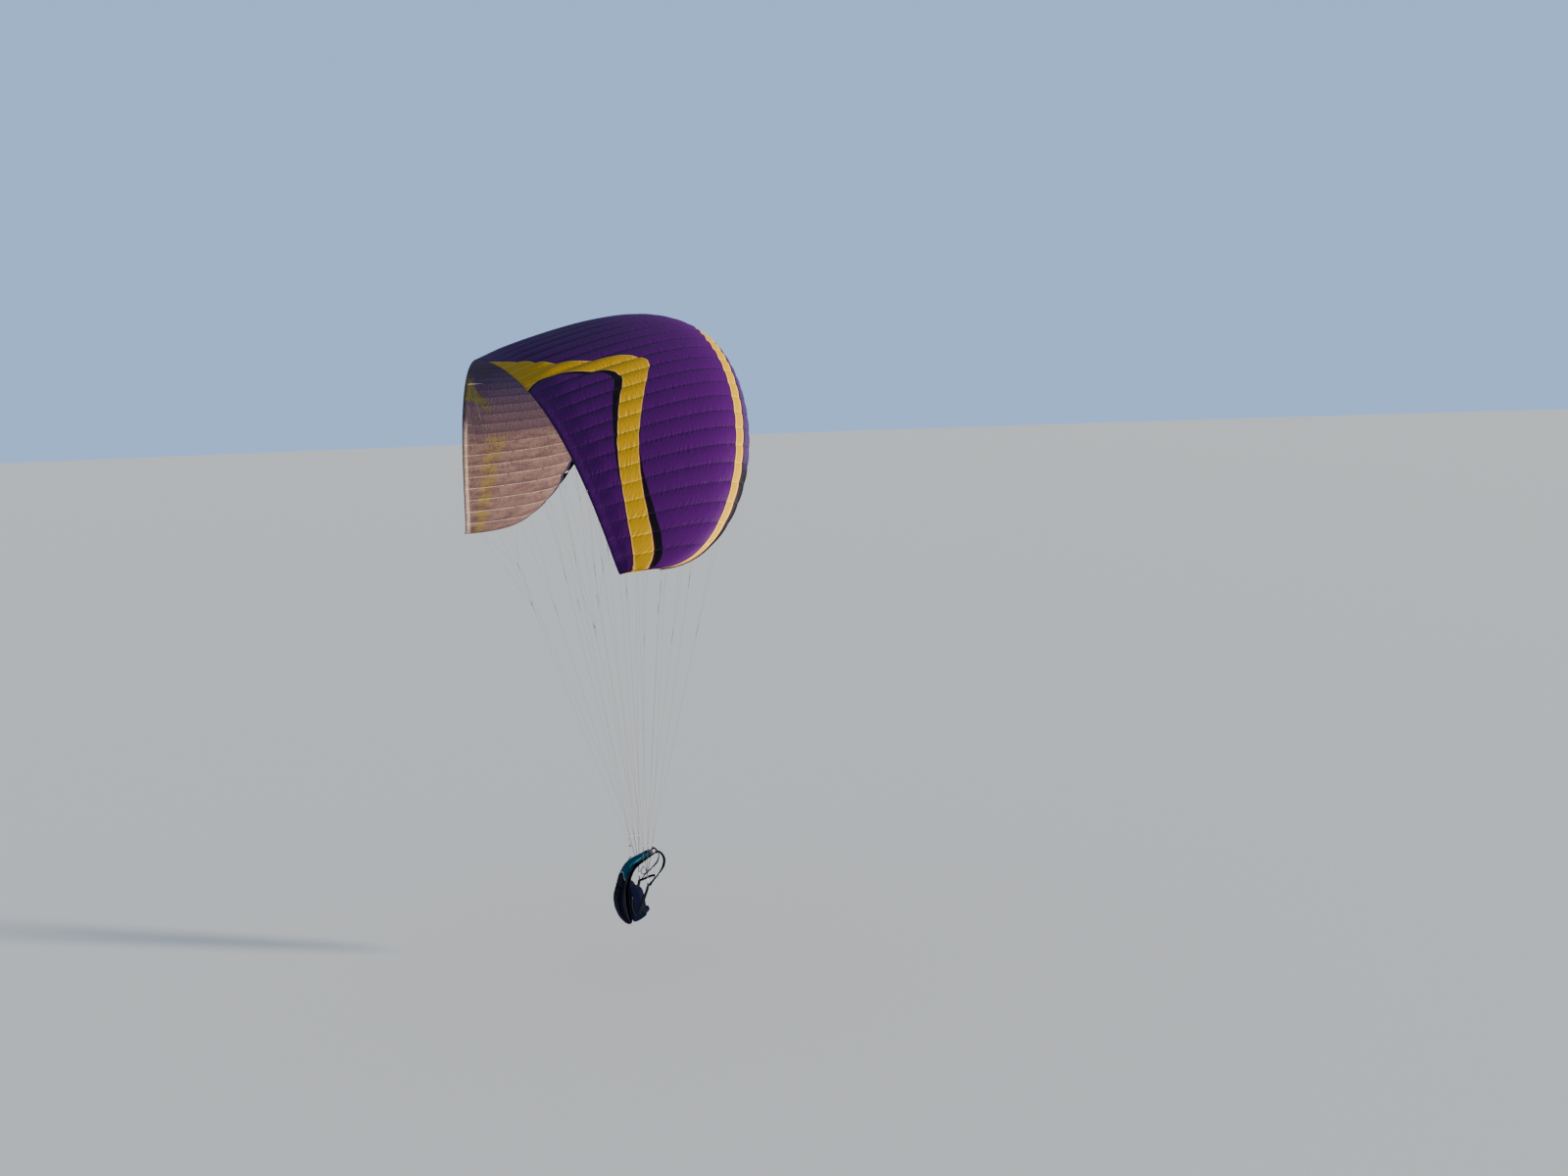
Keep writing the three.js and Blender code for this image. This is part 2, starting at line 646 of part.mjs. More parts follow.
function brakeHandle(side) {
  const top = handleTop(side);
  const half = HANDLE.width / 2 - HANDLE.thick / 2;
  // Columns: across the handle along X, and down from its top
  const route = [
    [0, 8], [half * 0.45, 30], [half * 0.95, 72], [half, 96], [half * 0.7, HANDLE.height - 6],
    [0, HANDLE.height], [-half * 0.7, HANDLE.height - 6], [-half, 96], [-half * 0.95, 72], [-half * 0.45, 30],
  ];
  const stations = route.map(([x, down]) => ({
    at: new THREE.Vector3(top.x + x, top.y, top.z - down), width: HANDLE.strap, thick: HANDLE.thick * 0.6,
  }));
  const loop = strap(stations, new THREE.Vector3(0, 1, 0), true);
  return united([loop, block(9, 12, 16, top.clone().add(new THREE.Vector3(0, 0, -8)))]);
}

// Harness: every point is given from the level of the risers' tops, forward and up

function hang(x, y, z) {
  return new THREE.Vector3(HANG_FORWARD + x, y, z - HANG_DROP);
}

// The line that the padded pieces lie along, down the pilot's back. Columns: forward, up
const BACK_LINE = [
  [160, -138], [8, -208], [-162, -306], [-254, -462], [-290, -616], [-304, -784], [-290, -900],
  [-258, -1015], [-214, -1118],
];
// Padded pieces. Columns: place on the line, width, thickness
const BACK_PANEL = [[0, 230, 22], [1, 290, 26], [2, 330, 28], [3, 356, 28], [4, 376, 28], [5, 376, 28]];
const SEAT = [[5, 376, 30], [6, 376, 34], [7, 376, 36], [8, 366, 30]];
const REAR_POCKET = [[0, 210, 20], [1, 280, 36], [2, 320, 54], [3, 340, 78], [4, 350, 92]];
const BACK_PROTECTOR = [[4, 350, 100], [5, 376, 128], [6, 376, 132], [7, 376, 122], [8, 350, 92]];
const PADDING_ROUND = 0.7;
// Strap paths. Columns: forward, sideways, up
const SHOULDER_STRAP = [
  [206, 104, -120], [262, 114, -165], [292, 128, -250], [262, 150, -350], [180, 180, -440], [84, 204, -525],
  [36, 209, -590],
];
const SHOULDER_STRAP_TOP = { across: 95, thick: 12, width: 62 };
const SHOULDER_STRAP_LOW = { from: 4, thick: 6, width: 34, up: -592 };
const MAIN_WEBBING = [
  [0, 209, -600], [-10, 203, -640], [-24, 198.1, -684], [-40, 198.1, -720], [-96, 198.1, -860],
  [-150, 198.1, -990],
];
const CHEST_STRAP = [[30, 164, -586], [90, 132, -556], [152, 70, -520], [176, 0, -508]];
const CHEST_STRAP_END = { forward: -1, straight: 20, up: -592 };
// The side panel's outline. Columns: forward, up
const SIDE_PANEL = [
  [-258, -540], [-110, -600], [-62, -720], [-42, -860], [-30, -960], [-52, -1036], [-210, -1100],
  [-262, -1010], [-282, -840], [-284, -660],
];
const LEG_LOOP = { steps: 14, forward: -64, up: -984, radius: 104, across: 88, middle: 98, tilt: 0.42 };

function backLineAt(i) {
  const [x, z] = BACK_LINE[i];
  const before = BACK_LINE[Math.max(i - 1, 0)];
  const after = BACK_LINE[Math.min(i + 1, BACK_LINE.length - 1)];
  const along = new THREE.Vector3(after[0] - before[0], 0, after[1] - before[1]).normalize();
  const forward = new THREE.Vector3(-along.z, 0, along.x);
  return { at: hang(x, 0, z), along, forward };
}

// A padded piece on the front or the rear of the line, a little short of its neighbours
function padded(rows, facing) {
  const stations = rows.map(([i, width, thick], k) => {
    const { at, along, forward } = backLineAt(i);
    const first = k === 0 ? GAP / 2 : 0;
    const last = k === rows.length - 1 ? GAP / 2 : 0;
    at.addScaledVector(forward, (facing * (GAP + thick)) / 2).addScaledVector(along, first - last);
    return { at, along, width, thick, round: PADDING_ROUND };
  });
  return strap(stations, new THREE.Vector3(0, 1, 0));
}

function mirrored(geometry) {
  const twin = geometry.clone().scale(1, -1, 1);
  const corners = [...twin.index.array];
  for (let t = 0; t < corners.length; t += 3) {
    [corners[t + 1], corners[t + 2]] = [corners[t + 2], corners[t + 1]];
  }
  twin.setIndex(corners);
  return twin;
}

// The shoulder strap starts on the back panel's top end and finishes on the main webbing's loop
function shoulderStrap() {
  const top = backLineAt(0);
  const start = top.at.addScaledVector(top.forward, (GAP + BACK_PANEL[0][2]) / 2);
  start.addScaledVector(top.along, -GAP / 2).setY(SHOULDER_STRAP_TOP.across);
  const upper = { width: SHOULDER_STRAP_TOP.width, thick: SHOULDER_STRAP_TOP.thick, round: 0.6 };
  const lower = { width: SHOULDER_STRAP_LOW.width, thick: SHOULDER_STRAP_LOW.thick, round: 0.6 };
  const stations = SHOULDER_STRAP.map(([x, y, z], i) => ({
    at: hang(x, y, z), ...(i < SHOULDER_STRAP_LOW.from ? upper : lower),
  }));
  const end = hang(HARNESS_LOOP.stemDepth / 2 + GAP, CARABINER.y, SHOULDER_STRAP_LOW.up);
  const backward = new THREE.Vector3(-1, 0, 0);
  return strap([
    { at: start, along: top.along.clone().negate(), ...upper },
    ...stations,
    { at: end, along: backward, ...lower },
  ], new THREE.Vector3(0.3, 1, 0.2));
}

// The main webbing: a loop round the carabiner's lower bar, a stem, and the strap down the side panel
function mainWebbing(side) {
  const { stemDepth, stemTop, stemBottom, thick, width } = HARNESS_LOOP;
  const bar = new THREE.Vector3(CARABINER.x, side * CARABINER.y, CARABINER.z - CARABINER_SIZE.height);
  const stem = hang(0, side * CARABINER.y, -(stemTop + stemBottom) / 2);
  const stations = MAIN_WEBBING.map(([x, y, z]) => ({ at: hang(x, side * y, z), ...MAIN_WEB, round: 0.4 }));
  return united([
    eye(bar, CARABINER_SIZE.bar, thick, width),
    block(stemDepth, width, stemBottom - stemTop, stem),
    strap(stations, new THREE.Vector3(1, 0, 0.4)),
  ]);
}

function sidePanel(side) {
  const shape = new THREE.Shape(SIDE_PANEL.map(([x, z]) => new THREE.Vector2(x, z)));
  const geometry = new THREE.ExtrudeGeometry(shape, { depth: SIDE_PANEL_THICK, bevelEnabled: false });
  geometry.rotateX(Math.PI / 2);
  const middle = side * (HARNESS_HALF_WIDTH + GAP + SIDE_PANEL_THICK / 2);
  const at = hang(0, middle + SIDE_PANEL_THICK / 2, 0);
  return geometry.translate(at.x, at.y, at.z);
}

// The leg loop's outer side lies on the side panel's inner face
function legLoop(side) {
  const stations = [];
  const { steps, forward, up, radius, across, middle, tilt } = LEG_LOOP;
  for (let k = 0; k < steps; k += 1) {
    const turn = (2 * Math.PI * k) / steps;
    const reach = radius * Math.cos(turn);
    const y = side * (middle + across * Math.sin(turn));
    const at = hang(forward + reach * Math.cos(tilt), y, up + reach * Math.sin(tilt));
    stations.push({ at, width: 54, thick: 10, round: 0.6 });
  }
  const geometry = strap(stations, new THREE.Vector3(-Math.sin(tilt), 0, Math.cos(tilt)), true);
  geometry.computeBoundingBox();
  const outermost = side > 0 ? geometry.boundingBox.max.y : geometry.boundingBox.min.y;
  return geometry.translate(0, side * HARNESS_HALF_WIDTH - outermost, 0);
}

// The chest strap runs between the stems of the main webbing
function chestStrap() {
  const { forward, straight, up } = CHEST_STRAP_END;
  const end = CARABINER.y - HARNESS_LOOP.width / 2 - GAP;
  const half = [[forward, end, up], [forward, end - straight, up], ...CHEST_STRAP];
  const whole = [...half, ...half.slice(0, -1).reverse().map(([x, y, z]) => [x, -y, z])];
  const stations = whole.map(([x, y, z]) => ({ at: hang(x, y, z), width: 34, thick: 3, round: 0.4 }));
  return strap(stations, new THREE.Vector3(0.2, 0, 1));
}

function carabiner(side) {
  const drop = CARABINER_SIZE.height / 2;
  const centre = new THREE.Vector3(CARABINER.x, side * CARABINER.y, CARABINER.z - drop);
  return ringOfBar(centre, CARABINER_SIZE, 2, 8);
}

// The whole paraglider as a scene graph

const paraglider = new THREE.Group();
const wing = new THREE.Group();
const harness = new THREE.Group();
paraglider.add(wing, harness);

function add(group, name, geometry, material) {
  const mesh = new THREE.Mesh(geometry, material);
  mesh.name = name;
  group.add(mesh);
}

add(wing, "rib_centre", centreRib(), finish(COLOURS.rib));
for (const [name, side] of [["left", 1], ["right", -1]]) {
  add(wing, `upper_surface_${name}`, upperSurface(side), finish(COLOURS.purple, 0.55));
  add(wing, `lower_surface_${name}`, lowerSurface(side), finish(COLOURS.white, 0.6));
  for (const row of ROWS) {
    add(wing, `lines_${row.name}_${name}`, rowLines(side, row), finish(row.colour));
    add(wing, `riser_${row.name}_${name}`, riserWeb(side, row), finish(COLOURS.webbing));
    add(wing, `link_${row.name}_${name}`, maillon(side, row), finish(COLOURS.metal, 0.3, 0.9));
  }
  add(wing, `lines_tip_${name}`, tipLines(side), finish(COLOURS.red));
  add(wing, `lines_brake_${name}`, brakeLines(side), finish(COLOURS.brake));
  add(wing, `riser_base_${name}`, riserBase(side), finish(COLOURS.webbing));
  add(wing, `pulley_${name}`, pulley(side), finish(COLOURS.black, 0.5));
  add(wing, `brake_tail_${name}`, brakeTail(side), finish(COLOURS.brake));
  add(wing, `brake_handle_${name}`, brakeHandle(side), finish(COLOURS.black, 0.8));
  add(harness, `carabiner_${name}`, carabiner(side), finish(COLOURS.metal, 0.3, 0.9));
  add(harness, `main_webbing_${name}`, mainWebbing(side), finish(COLOURS.webbing));
  add(harness, `side_panel_${name}`, sidePanel(side), finish(COLOURS.navy));
  add(harness, `leg_loop_${name}`, legLoop(side), finish(COLOURS.black));
}
add(harness, "shoulder_strap_left", shoulderStrap(), finish(COLOURS.black));
add(harness, "shoulder_strap_right", mirrored(shoulderStrap()), finish(COLOURS.black));
add(harness, "back_panel", padded(BACK_PANEL, 1), finish(COLOURS.black));
add(harness, "rear_pocket", padded(REAR_POCKET, -1), finish(COLOURS.teal));
add(harness, "back_protector", padded(BACK_PROTECTOR, -1), finish(COLOURS.navy));
add(harness, "seat", padded(SEAT, 1), finish(COLOURS.navy));
add(harness, "chest_strap", chestStrap(), finish(COLOURS.webbing));

export default paraglider;
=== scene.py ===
import math

import bmesh
import bpy
import numpy as np
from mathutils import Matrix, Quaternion, Vector


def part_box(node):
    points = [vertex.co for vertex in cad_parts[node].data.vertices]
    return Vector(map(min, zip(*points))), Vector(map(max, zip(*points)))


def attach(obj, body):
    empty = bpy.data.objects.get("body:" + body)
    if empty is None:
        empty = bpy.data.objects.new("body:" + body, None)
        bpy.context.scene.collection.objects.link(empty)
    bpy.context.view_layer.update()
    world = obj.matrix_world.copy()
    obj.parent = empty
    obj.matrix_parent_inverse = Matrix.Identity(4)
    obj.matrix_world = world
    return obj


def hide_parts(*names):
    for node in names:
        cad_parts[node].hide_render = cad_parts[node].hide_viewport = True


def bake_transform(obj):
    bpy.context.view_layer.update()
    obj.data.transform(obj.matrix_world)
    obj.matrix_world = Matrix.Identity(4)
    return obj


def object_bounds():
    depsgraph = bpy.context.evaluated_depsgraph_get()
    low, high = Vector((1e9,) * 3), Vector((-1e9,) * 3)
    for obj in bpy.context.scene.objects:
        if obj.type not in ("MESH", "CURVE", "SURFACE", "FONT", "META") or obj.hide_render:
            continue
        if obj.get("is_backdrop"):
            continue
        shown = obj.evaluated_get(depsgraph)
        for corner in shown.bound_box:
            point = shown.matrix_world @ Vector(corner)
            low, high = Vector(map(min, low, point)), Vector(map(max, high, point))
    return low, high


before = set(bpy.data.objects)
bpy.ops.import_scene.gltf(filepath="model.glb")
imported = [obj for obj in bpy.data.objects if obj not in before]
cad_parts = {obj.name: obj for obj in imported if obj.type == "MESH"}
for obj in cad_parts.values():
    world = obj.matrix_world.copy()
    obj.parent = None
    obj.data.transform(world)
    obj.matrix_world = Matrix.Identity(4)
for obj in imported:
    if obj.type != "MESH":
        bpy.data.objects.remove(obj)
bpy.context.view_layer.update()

scene = bpy.context.scene


def add_node(tree, kind, inputs=(), **settings):
    """A new node, its inputs set to values or wired to sockets."""
    made = tree.nodes.new("ShaderNode" + kind)
    for name, value in settings.items():
        setattr(made, name, value)
    for name, value in dict(inputs).items():
        if isinstance(value, bpy.types.NodeSocket):
            tree.links.new(value, made.inputs[name])
        elif value is not None:
            made.inputs[name].default_value = value
    return made


# Camera, floor and light

CAMERA_AT = (-7.84193, -26.14996, -0.93975)
CAMERA_TURN = (0.726442, 0.660951, -0.113057, -0.150482)
FLOOR_Z = -9.12
SUN_FROM = (0.800, -0.590, 0.115)

camera = bpy.data.objects.new("camera", bpy.data.cameras.new("camera"))
scene.collection.objects.link(camera)
camera.location = CAMERA_AT
camera.rotation_mode = "QUATERNION"
camera.rotation_quaternion = Quaternion(CAMERA_TURN)
camera.data.sensor_width = 36
camera.data.lens = 43.3676
camera.data.clip_end = 1000
scene.camera = camera

world = bpy.data.worlds.new("studio")
scene.world = world
world.use_nodes = True
sky = world.node_tree
sky_light = sky.nodes["Background"]
sky_light.inputs["Color"].default_value = (0.60, 0.78, 1.0, 1)
sky_light.inputs["Strength"].default_value = 0.52
sky_seen = add_node(sky, "Background", {"Color": (0.38, 0.60, 1.0, 1), "Strength": 1.0})
by_camera = add_node(sky, "LightPath").outputs["Is Camera Ray"]
sky_mix = add_node(sky, "MixShader", {0: by_camera, 1: sky_light.outputs[0], 2: sky_seen.outputs[0]})
sky.links.new(sky_mix.outputs[0], sky.nodes["World Output"].inputs["Surface"])

key = bpy.data.objects.new("key_light", bpy.data.lights.new("key_light", "SUN"))
key.data.energy = 12.0
key.data.angle = math.radians(6)
key.data.color = (1.0, 0.90, 0.78)
key.rotation_mode = "QUATERNION"
key.rotation_quaternion = Vector(SUN_FROM).to_track_quat("Z", "Y")
scene.collection.objects.link(key)


# Materials are wired through these short calls

class Nodes:
    def __init__(self, name):
        self.material = bpy.data.materials.new(name)
        self.material.use_nodes = True
        self.tree = self.material.node_tree
        self.tree.nodes.clear()

    def add(self, kind, inputs=(), **settings):
        return add_node(self.tree, kind, inputs, **settings)

    def attribute(self, name):
        return self.add("Attribute", attribute_name=name).outputs["Fac"]

    def place(self):
        return self.add("TexCoord").outputs["Object"]

    def math(self, operation, a, b=0.0, c=0.0):
        return self.add("Math", {0: a, 1: b, 2: c}, operation=operation).outputs[0]

    def times(self, a, b):
        return self.math("MULTIPLY", a, b)

    def less(self, a, b):
        return self.math("SUBTRACT", a, b)

    def size(self, a):
        return self.math("ABSOLUTE", a)

    def scaled(self, value, by, plus):
        return self.math("MULTIPLY_ADD", value, by, plus)

    def band(self, value, low, high):
        """0 below low, 1 above high, smooth between."""
        return self.add("MapRange", {0: value, 1: low, 2: high}, interpolation_type="SMOOTHSTEP").outputs[0]

    def mix(self, factor, a, b, blend="MIX"):
        return self.add("Mix", {0: factor, 6: a, 7: b}, data_type="RGBA", blend_type=blend).outputs[2]

    def tinted(self, colour, mask, share, tint):
        """A colour with this share of a tint where the mask is 1."""
        return self.mix(self.times(mask, share), colour, tint)

    def shaded(self, colour, shade):
        return self.mix(1.0, colour, self.combine(shade, shade, shade), "MULTIPLY")

    def noise(self, vector, scale, detail=3.0, roughness=0.55, stretch=None):
        if stretch:
            vector = self.add("Mapping", {"Vector": vector, "Scale": stretch}).outputs[0]
        inputs = {"Vector": vector, "Scale": scale, "Detail": detail, "Roughness": roughness}
        return self.add("TexNoise", inputs).outputs["Fac"]

    def combine(self, x, y, z=0.0):
        return self.add("CombineXYZ", {0: x, 1: y, 2: z}).outputs[0]

    def ripple(self, value, period):
        """A wave of value with this period, from 0 to 1."""
        return self.scaled(self.math("SINE", self.times(value, 2 * math.pi / period)), 0.5, 0.5)

    def bump(self, height, distance, strength=1.0, normal=None):
        inputs = {"Height": height, "Distance": distance, "Strength": strength, "Normal": normal}
        return self.add("Bump", inputs).outputs[0]

    def finish(self, colour, roughness, normal=None, **fixed):
        inputs = {"Base Color": colour, "Roughness": roughness, "Normal": normal}
        inputs.update({name.replace("_", " "): value for name, value in fixed.items()})
        shader = self.add("BsdfPrincipled", inputs)
        self.add("OutputMaterial", {0: shader.outputs[0]})
        return self.material


def rgb(r, g, b):
    """A colour given as it looks on a screen, turned to light."""
    return (*[(c / 255) ** 2.2 for c in (r, g, b)], 1)


def paler(colour, times, plus):
    return tuple(min(1.0, c * times + plus) for c in colour[:3]) + (1,)


PURPLE, NOSE_PURPLE, BLACK = rgb(63, 7, 83), rgb(58, 40, 82), rgb(15, 11, 20)
GOLD, UNDER_WHITE, HEM = rgb(176, 134, 2), rgb(108, 86, 78), rgb(34, 26, 52)
THREAD_PITCH = 0.005
WEAVE_GRAIN = 700.0
DULL = {"Specular_IOR_Level": 0.03}


class WingCloth(Nodes):
    """What the two sides of the wing's cloth share."""

    def __init__(self, name):
        super().__init__(name)
        self.span, self.chord, self.seam, self.rear, self.gold = [
            self.attribute(field) for field in ("span", "chord", "seam", "rear", "gold")]
        self.spot, self.sheet = self.place(), self.combine(self.span, self.chord)
        self.cloudy = self.noise(self.spot, 1.7, 4.0, 0.6)
        self.fibres = self.noise(self.sheet, 60.0, 4.0, 0.65)


def sewn(n, colour, seam_band, seam_share, seam_tint, crinkle_depth, crinkle_share):
    """Shade, seams, thread, wear, ripstop weave and folds, for either side of the wing."""
    shade = n.times(n.scaled(n.cloudy, 0.16, 0.92), n.scaled(n.fibres, 0.06, 0.97))
    colour = n.tinted(n.shaded(colour, shade), n.band(n.seam, *seam_band), seam_share, seam_tint)
    beside_seam = n.band(n.size(n.less(n.seam, 0.004)), 0.0012, 0.0006)
    stitch = n.times(n.ripple(n.chord, THREAD_PITCH), beside_seam)
    colour = n.tinted(colour, stitch, 0.2, rgb(150, 130, 170))
    worn = n.band(n.noise(n.spot, 9.0, 6.0, 0.7), 0.62, 0.78)
    colour = n.tinted(colour, worn, 0.12, rgb(150, 130, 150))
    weave = n.math("MAXIMUM", n.ripple(n.span, THREAD_PITCH), n.ripple(n.chord, THREAD_PITCH))
    normal = n.bump(n.math("POWER", weave, 8.0), 0.0002, 0.5)
    crinkle = n.noise(n.sheet, 14.0, 5.0, 0.6, (1.0, 2.2, 1.0))
    normal = n.bump(crinkle, crinkle_depth, crinkle_share, normal)
    pucker = n.noise(n.sheet, 16.0, 2.0, 0.5, (0.4, 1.6, 1.0))
    normal = n.bump(n.times(pucker, n.band(n.seam, 0.11, 0.01)), 0.012, 0.7, normal)
    fold = n.noise(n.sheet, 11.0, 3.0, 0.55, (1.8, 0.5, 1.0))
    normal = n.bump(n.times(fold, n.band(n.rear, 0.12, 0.02)), 0.02, 0.8, normal)
    return n.finish(colour, n.scaled(n.fibres, 0.15, 0.52), normal, Specular_IOR_Level=0.12)


def top_cloth():
    """Purple, with a black tip, black bands and the gold pattern."""
    n = WingCloth("upper_cloth")
    on_nose = n.band(n.attribute("nose"), -0.003, 0.003)
    colour = n.mix(on_nose, PURPLE, NOSE_PURPLE)
    colour = n.mix(n.times(n.band(n.span, 4.3, 4.7), on_nose), colour, BLACK)
    colour = n.mix(n.band(n.attribute("black"), -0.002, 0.002), colour, BLACK)
    colour = n.tinted(colour, n.band(n.size(n.gold), 0.016, 0.010), 0.75, rgb(62, 12, 34))
    bright = n.mix(n.band(n.gold, 0.016, 0.008), GOLD, rgb(206, 164, 76))
    colour = n.mix(n.band(n.gold, -0.002, 0.002), colour, bright)
    seam_tint = n.mix(n.band(n.gold, 0.0, 0.004), rgb(20, 6, 44), rgb(214, 182, 70))
    return sewn(n, colour, (0.010, 0.005), 0.8, seam_tint, 0.006, 0.5)


def low_cloth():
    """Pale cloth: painted shade towards the middle of the span, painted sunlight towards the tips, and the
    pattern of the upper side as a painted glow where low light comes through it.
    """
    n = WingCloth("under_cloth")
    # Painted glow: low sunlight coloured by the upper side's gold band, shifted as the light carries it,
    # where it falls on the lower skin.
    painted_gold_light = n.band(n.gold, -0.05, 0.05)
    # Painted shade: darker violet towards the middle of the span, lighter towards where the painted sunlight
    # starts.
    painted_shade = n.mix(n.band(n.span, 1.4, 3.4), rgb(46, 34, 66), rgb(80, 62, 68))
    painted_shade = n.tinted(painted_shade, painted_gold_light, n.band(n.rear, 0.55, 0.2), rgb(78, 72, 40))
    # The painted gold glow, stronger in the painted sunlight.
    pale = n.tinted(UNDER_WHITE, painted_gold_light, 0.7, rgb(112, 94, 40))
    mottled = n.noise(n.sheet, 4.0, 5.0, 0.65, (2.2, 1.0, 1.0))
    pale = n.tinted(pale, n.band(mottled, 0.40, 0.62), 0.75, rgb(80, 58, 62))
    # Painted sunlight beyond about 3.5 m of span and painted shade inside it, with cloudy patches of the
    # painted shade over the whole skin.
    colour = n.mix(n.scaled(n.cloudy, 0.3, -0.05), n.mix(n.band(n.span, 3.36, 3.62), painted_shade, pale), painted_shade)
    # A pale crinkled strip along the trailing edge, shown only towards the tips: the strip is real, its
    # brightness there is painted sunlight.
    flap = n.times(n.band(n.rear, 0.085, 0.070), n.scaled(n.fibres, 0.8, 0.1))
    colour = n.tinted(colour, flap, n.band(n.span, 2.9, 3.4), rgb(186, 160, 146))
    colour = n.mix(n.band(n.attribute("front"), 0.055, 0.048), colour, HEM)
    # Seams: dark in the painted shade, pale where the painted sunlight falls.
    seam_tint = n.mix(n.band(n.span, 3.5, 3.9), rgb(52, 40, 58), rgb(190, 166, 150))
    return sewn(n, colour, (0.007, 0.003), 0.7, seam_tint, 0.016, 0.9)


def plain_cloth(name, colour, rough=0.7, wear=0.3):
    """Heavy woven nylon, paler where it is rubbed."""
    n = Nodes(name)
    place = n.place()
    cloudy = n.noise(place, 7.0, 5.0, 0.6)
    base = n.shaded(colour, n.scaled(cloudy, 0.5, 0.72))
    worn = n.band(n.noise(place, 26.0, 6.0, 0.7), 0.56, 0.76)
    base = n.tinted(base, worn, wear, paler(colour, 2.2, 0.02))
    normal = n.bump(n.noise(place, WEAVE_GRAIN, 2.0, 0.5), 0.0006, 0.7)
    normal = n.bump(n.noise(place, 38.0, 4.0, 0.6), 0.004, 0.5, normal)
    return n.finish(base, n.scaled(cloudy, 0.2, rough - 0.1), normal, **DULL)


def webbing(name, colour, tracer=None):
    """Flat woven webbing: ribs across it and often a tracer thread near each edge."""
    n = Nodes(name)
    along, across = n.attribute("along"), n.attribute("across")
    rib = n.ripple(n.math("ADD", along, n.times(n.ripple(across, 0.003), 0.0008)), 0.0022)
    cloudy = n.noise(n.place(), 22.0, 4.0, 0.6)
    base = n.shaded(colour, n.scaled(rib, 0.35, n.scaled(cloudy, 0.3, 0.55)))
    if tracer:
        base = n.mix(n.band(n.size(n.less(n.size(across), 0.0042)), 0.0013, 0.0007), base, tracer)
    worn = n.band(n.noise(n.place(), 60.0, 5.0, 0.7), 0.55, 0.8)
    base = n.tinted(base, worn, 0.3, paler(colour, 2.0, 0.02))
    return n.finish(base, 0.72, n.bump(rib, 0.0006, 0.8), **DULL)


def cord_cloth(name, colour, fleck):
    """Braided sheath of a line."""
    n = Nodes(name)
    place = n.place()
    braid = n.noise(place, 420.0, 2.0, 0.5)
    base = n.mix(n.band(braid, 0.5, 0.62), colour, fleck)
    faded = n.band(n.noise(place, 1.3, 3.0, 0.6), 0.45, 0.75)
    base = n.tinted(base, faded, 0.35, rgb(120, 108, 92))
    return n.finish(base, 0.62, n.bump(braid, 0.0004, 0.6), Sheen_Weight=0.15)


def metal(name, colour, rough):
    n = Nodes(name)
    place = n.place()
    brush = n.noise(place, 90.0, 4.0, 0.6, (1.0, 1.0, 12.0))
    smudge = n.noise(place, 30.0, 5.0, 0.65)
    base = n.tinted(colour, n.band(smudge, 0.5, 0.8), 0.35, rgb(96, 92, 88))
    return n.finish(base, n.scaled(smudge, 0.25, rough), n.bump(brush, 0.0002, 0.4), Metallic=1.0)


def plastic(name, colour, rough=0.45):
    n = Nodes(name)
    place = n.place()
    smudge = n.noise(place, 35.0, 5.0, 0.65)
    base = n.tinted(colour, n.band(smudge, 0.5, 0.8), 0.4, paler(colour, 1.6, 0.04))
    return n.finish(base, n.scaled(smudge, 0.2, rough), n.bump(n.noise(place, 900.0, 3.0, 0.5), 0.0002, 0.5))


def harness_cloth(name):
    """The protector and pocket: teal above, dark navy below, with paler teal stripes between."""
    n = Nodes(name)
    along, across, place = n.attribute("along"), n.attribute("across"), n.place()
    cloudy = n.noise(place, 6.0, 5.0, 0.6)
    wide = n.size(across)
    drawn = n.less(along, n.times(n.times(wide, wide), 3.0))
    colour = n.mix(n.band(drawn, 0.515, 0.519), rgb(8, 76, 94), rgb(9, 14, 34))
    lean = n.less(wide, n.times(along, 0.16))
    for inner, outer, end in ((0.040, 0.058, 0.36), (0.070, 0.080, 0.30)):
        stripe = n.times(n.band(lean, inner, inner + 0.002), n.band(lean, outer + 0.002, outer))
        colour = n.tinted(colour, stripe, n.band(drawn, end + 0.002, end), rgb(84, 158, 172))
    colour = n.tinted(colour, n.band(drawn, 0.50, 0.502), n.band(drawn, 0.517, 0.515), rgb(150, 158, 164))
    colour = n.mix(n.band(n.attribute("rim"), 0.90, 0.92), colour, rgb(14, 16, 26))
    colour = n.mix(n.band(along, 0.052, 0.048), colour, rgb(104, 110, 118))
    colour = n.shaded(colour, n.scaled(cloudy, 0.5, 0.75))
    worn = n.band(n.noise(place, 30.0, 6.0, 0.7), 0.58, 0.78)
    colour = n.tinted(colour, worn, 0.16, rgb(84, 92, 104))
    normal = n.bump(n.noise(place, WEAVE_GRAIN, 2.0, 0.5), 0.0006, 0.7)
    wrinkle = n.noise(n.combine(along, across), 12.0, 4.0, 0.6, (1.6, 1.0, 1.0))
    normal = n.bump(wrinkle, 0.012, 0.6, normal)
    return n.finish(colour, n.scaled(cloudy, 0.2, 0.5), normal, **DULL)


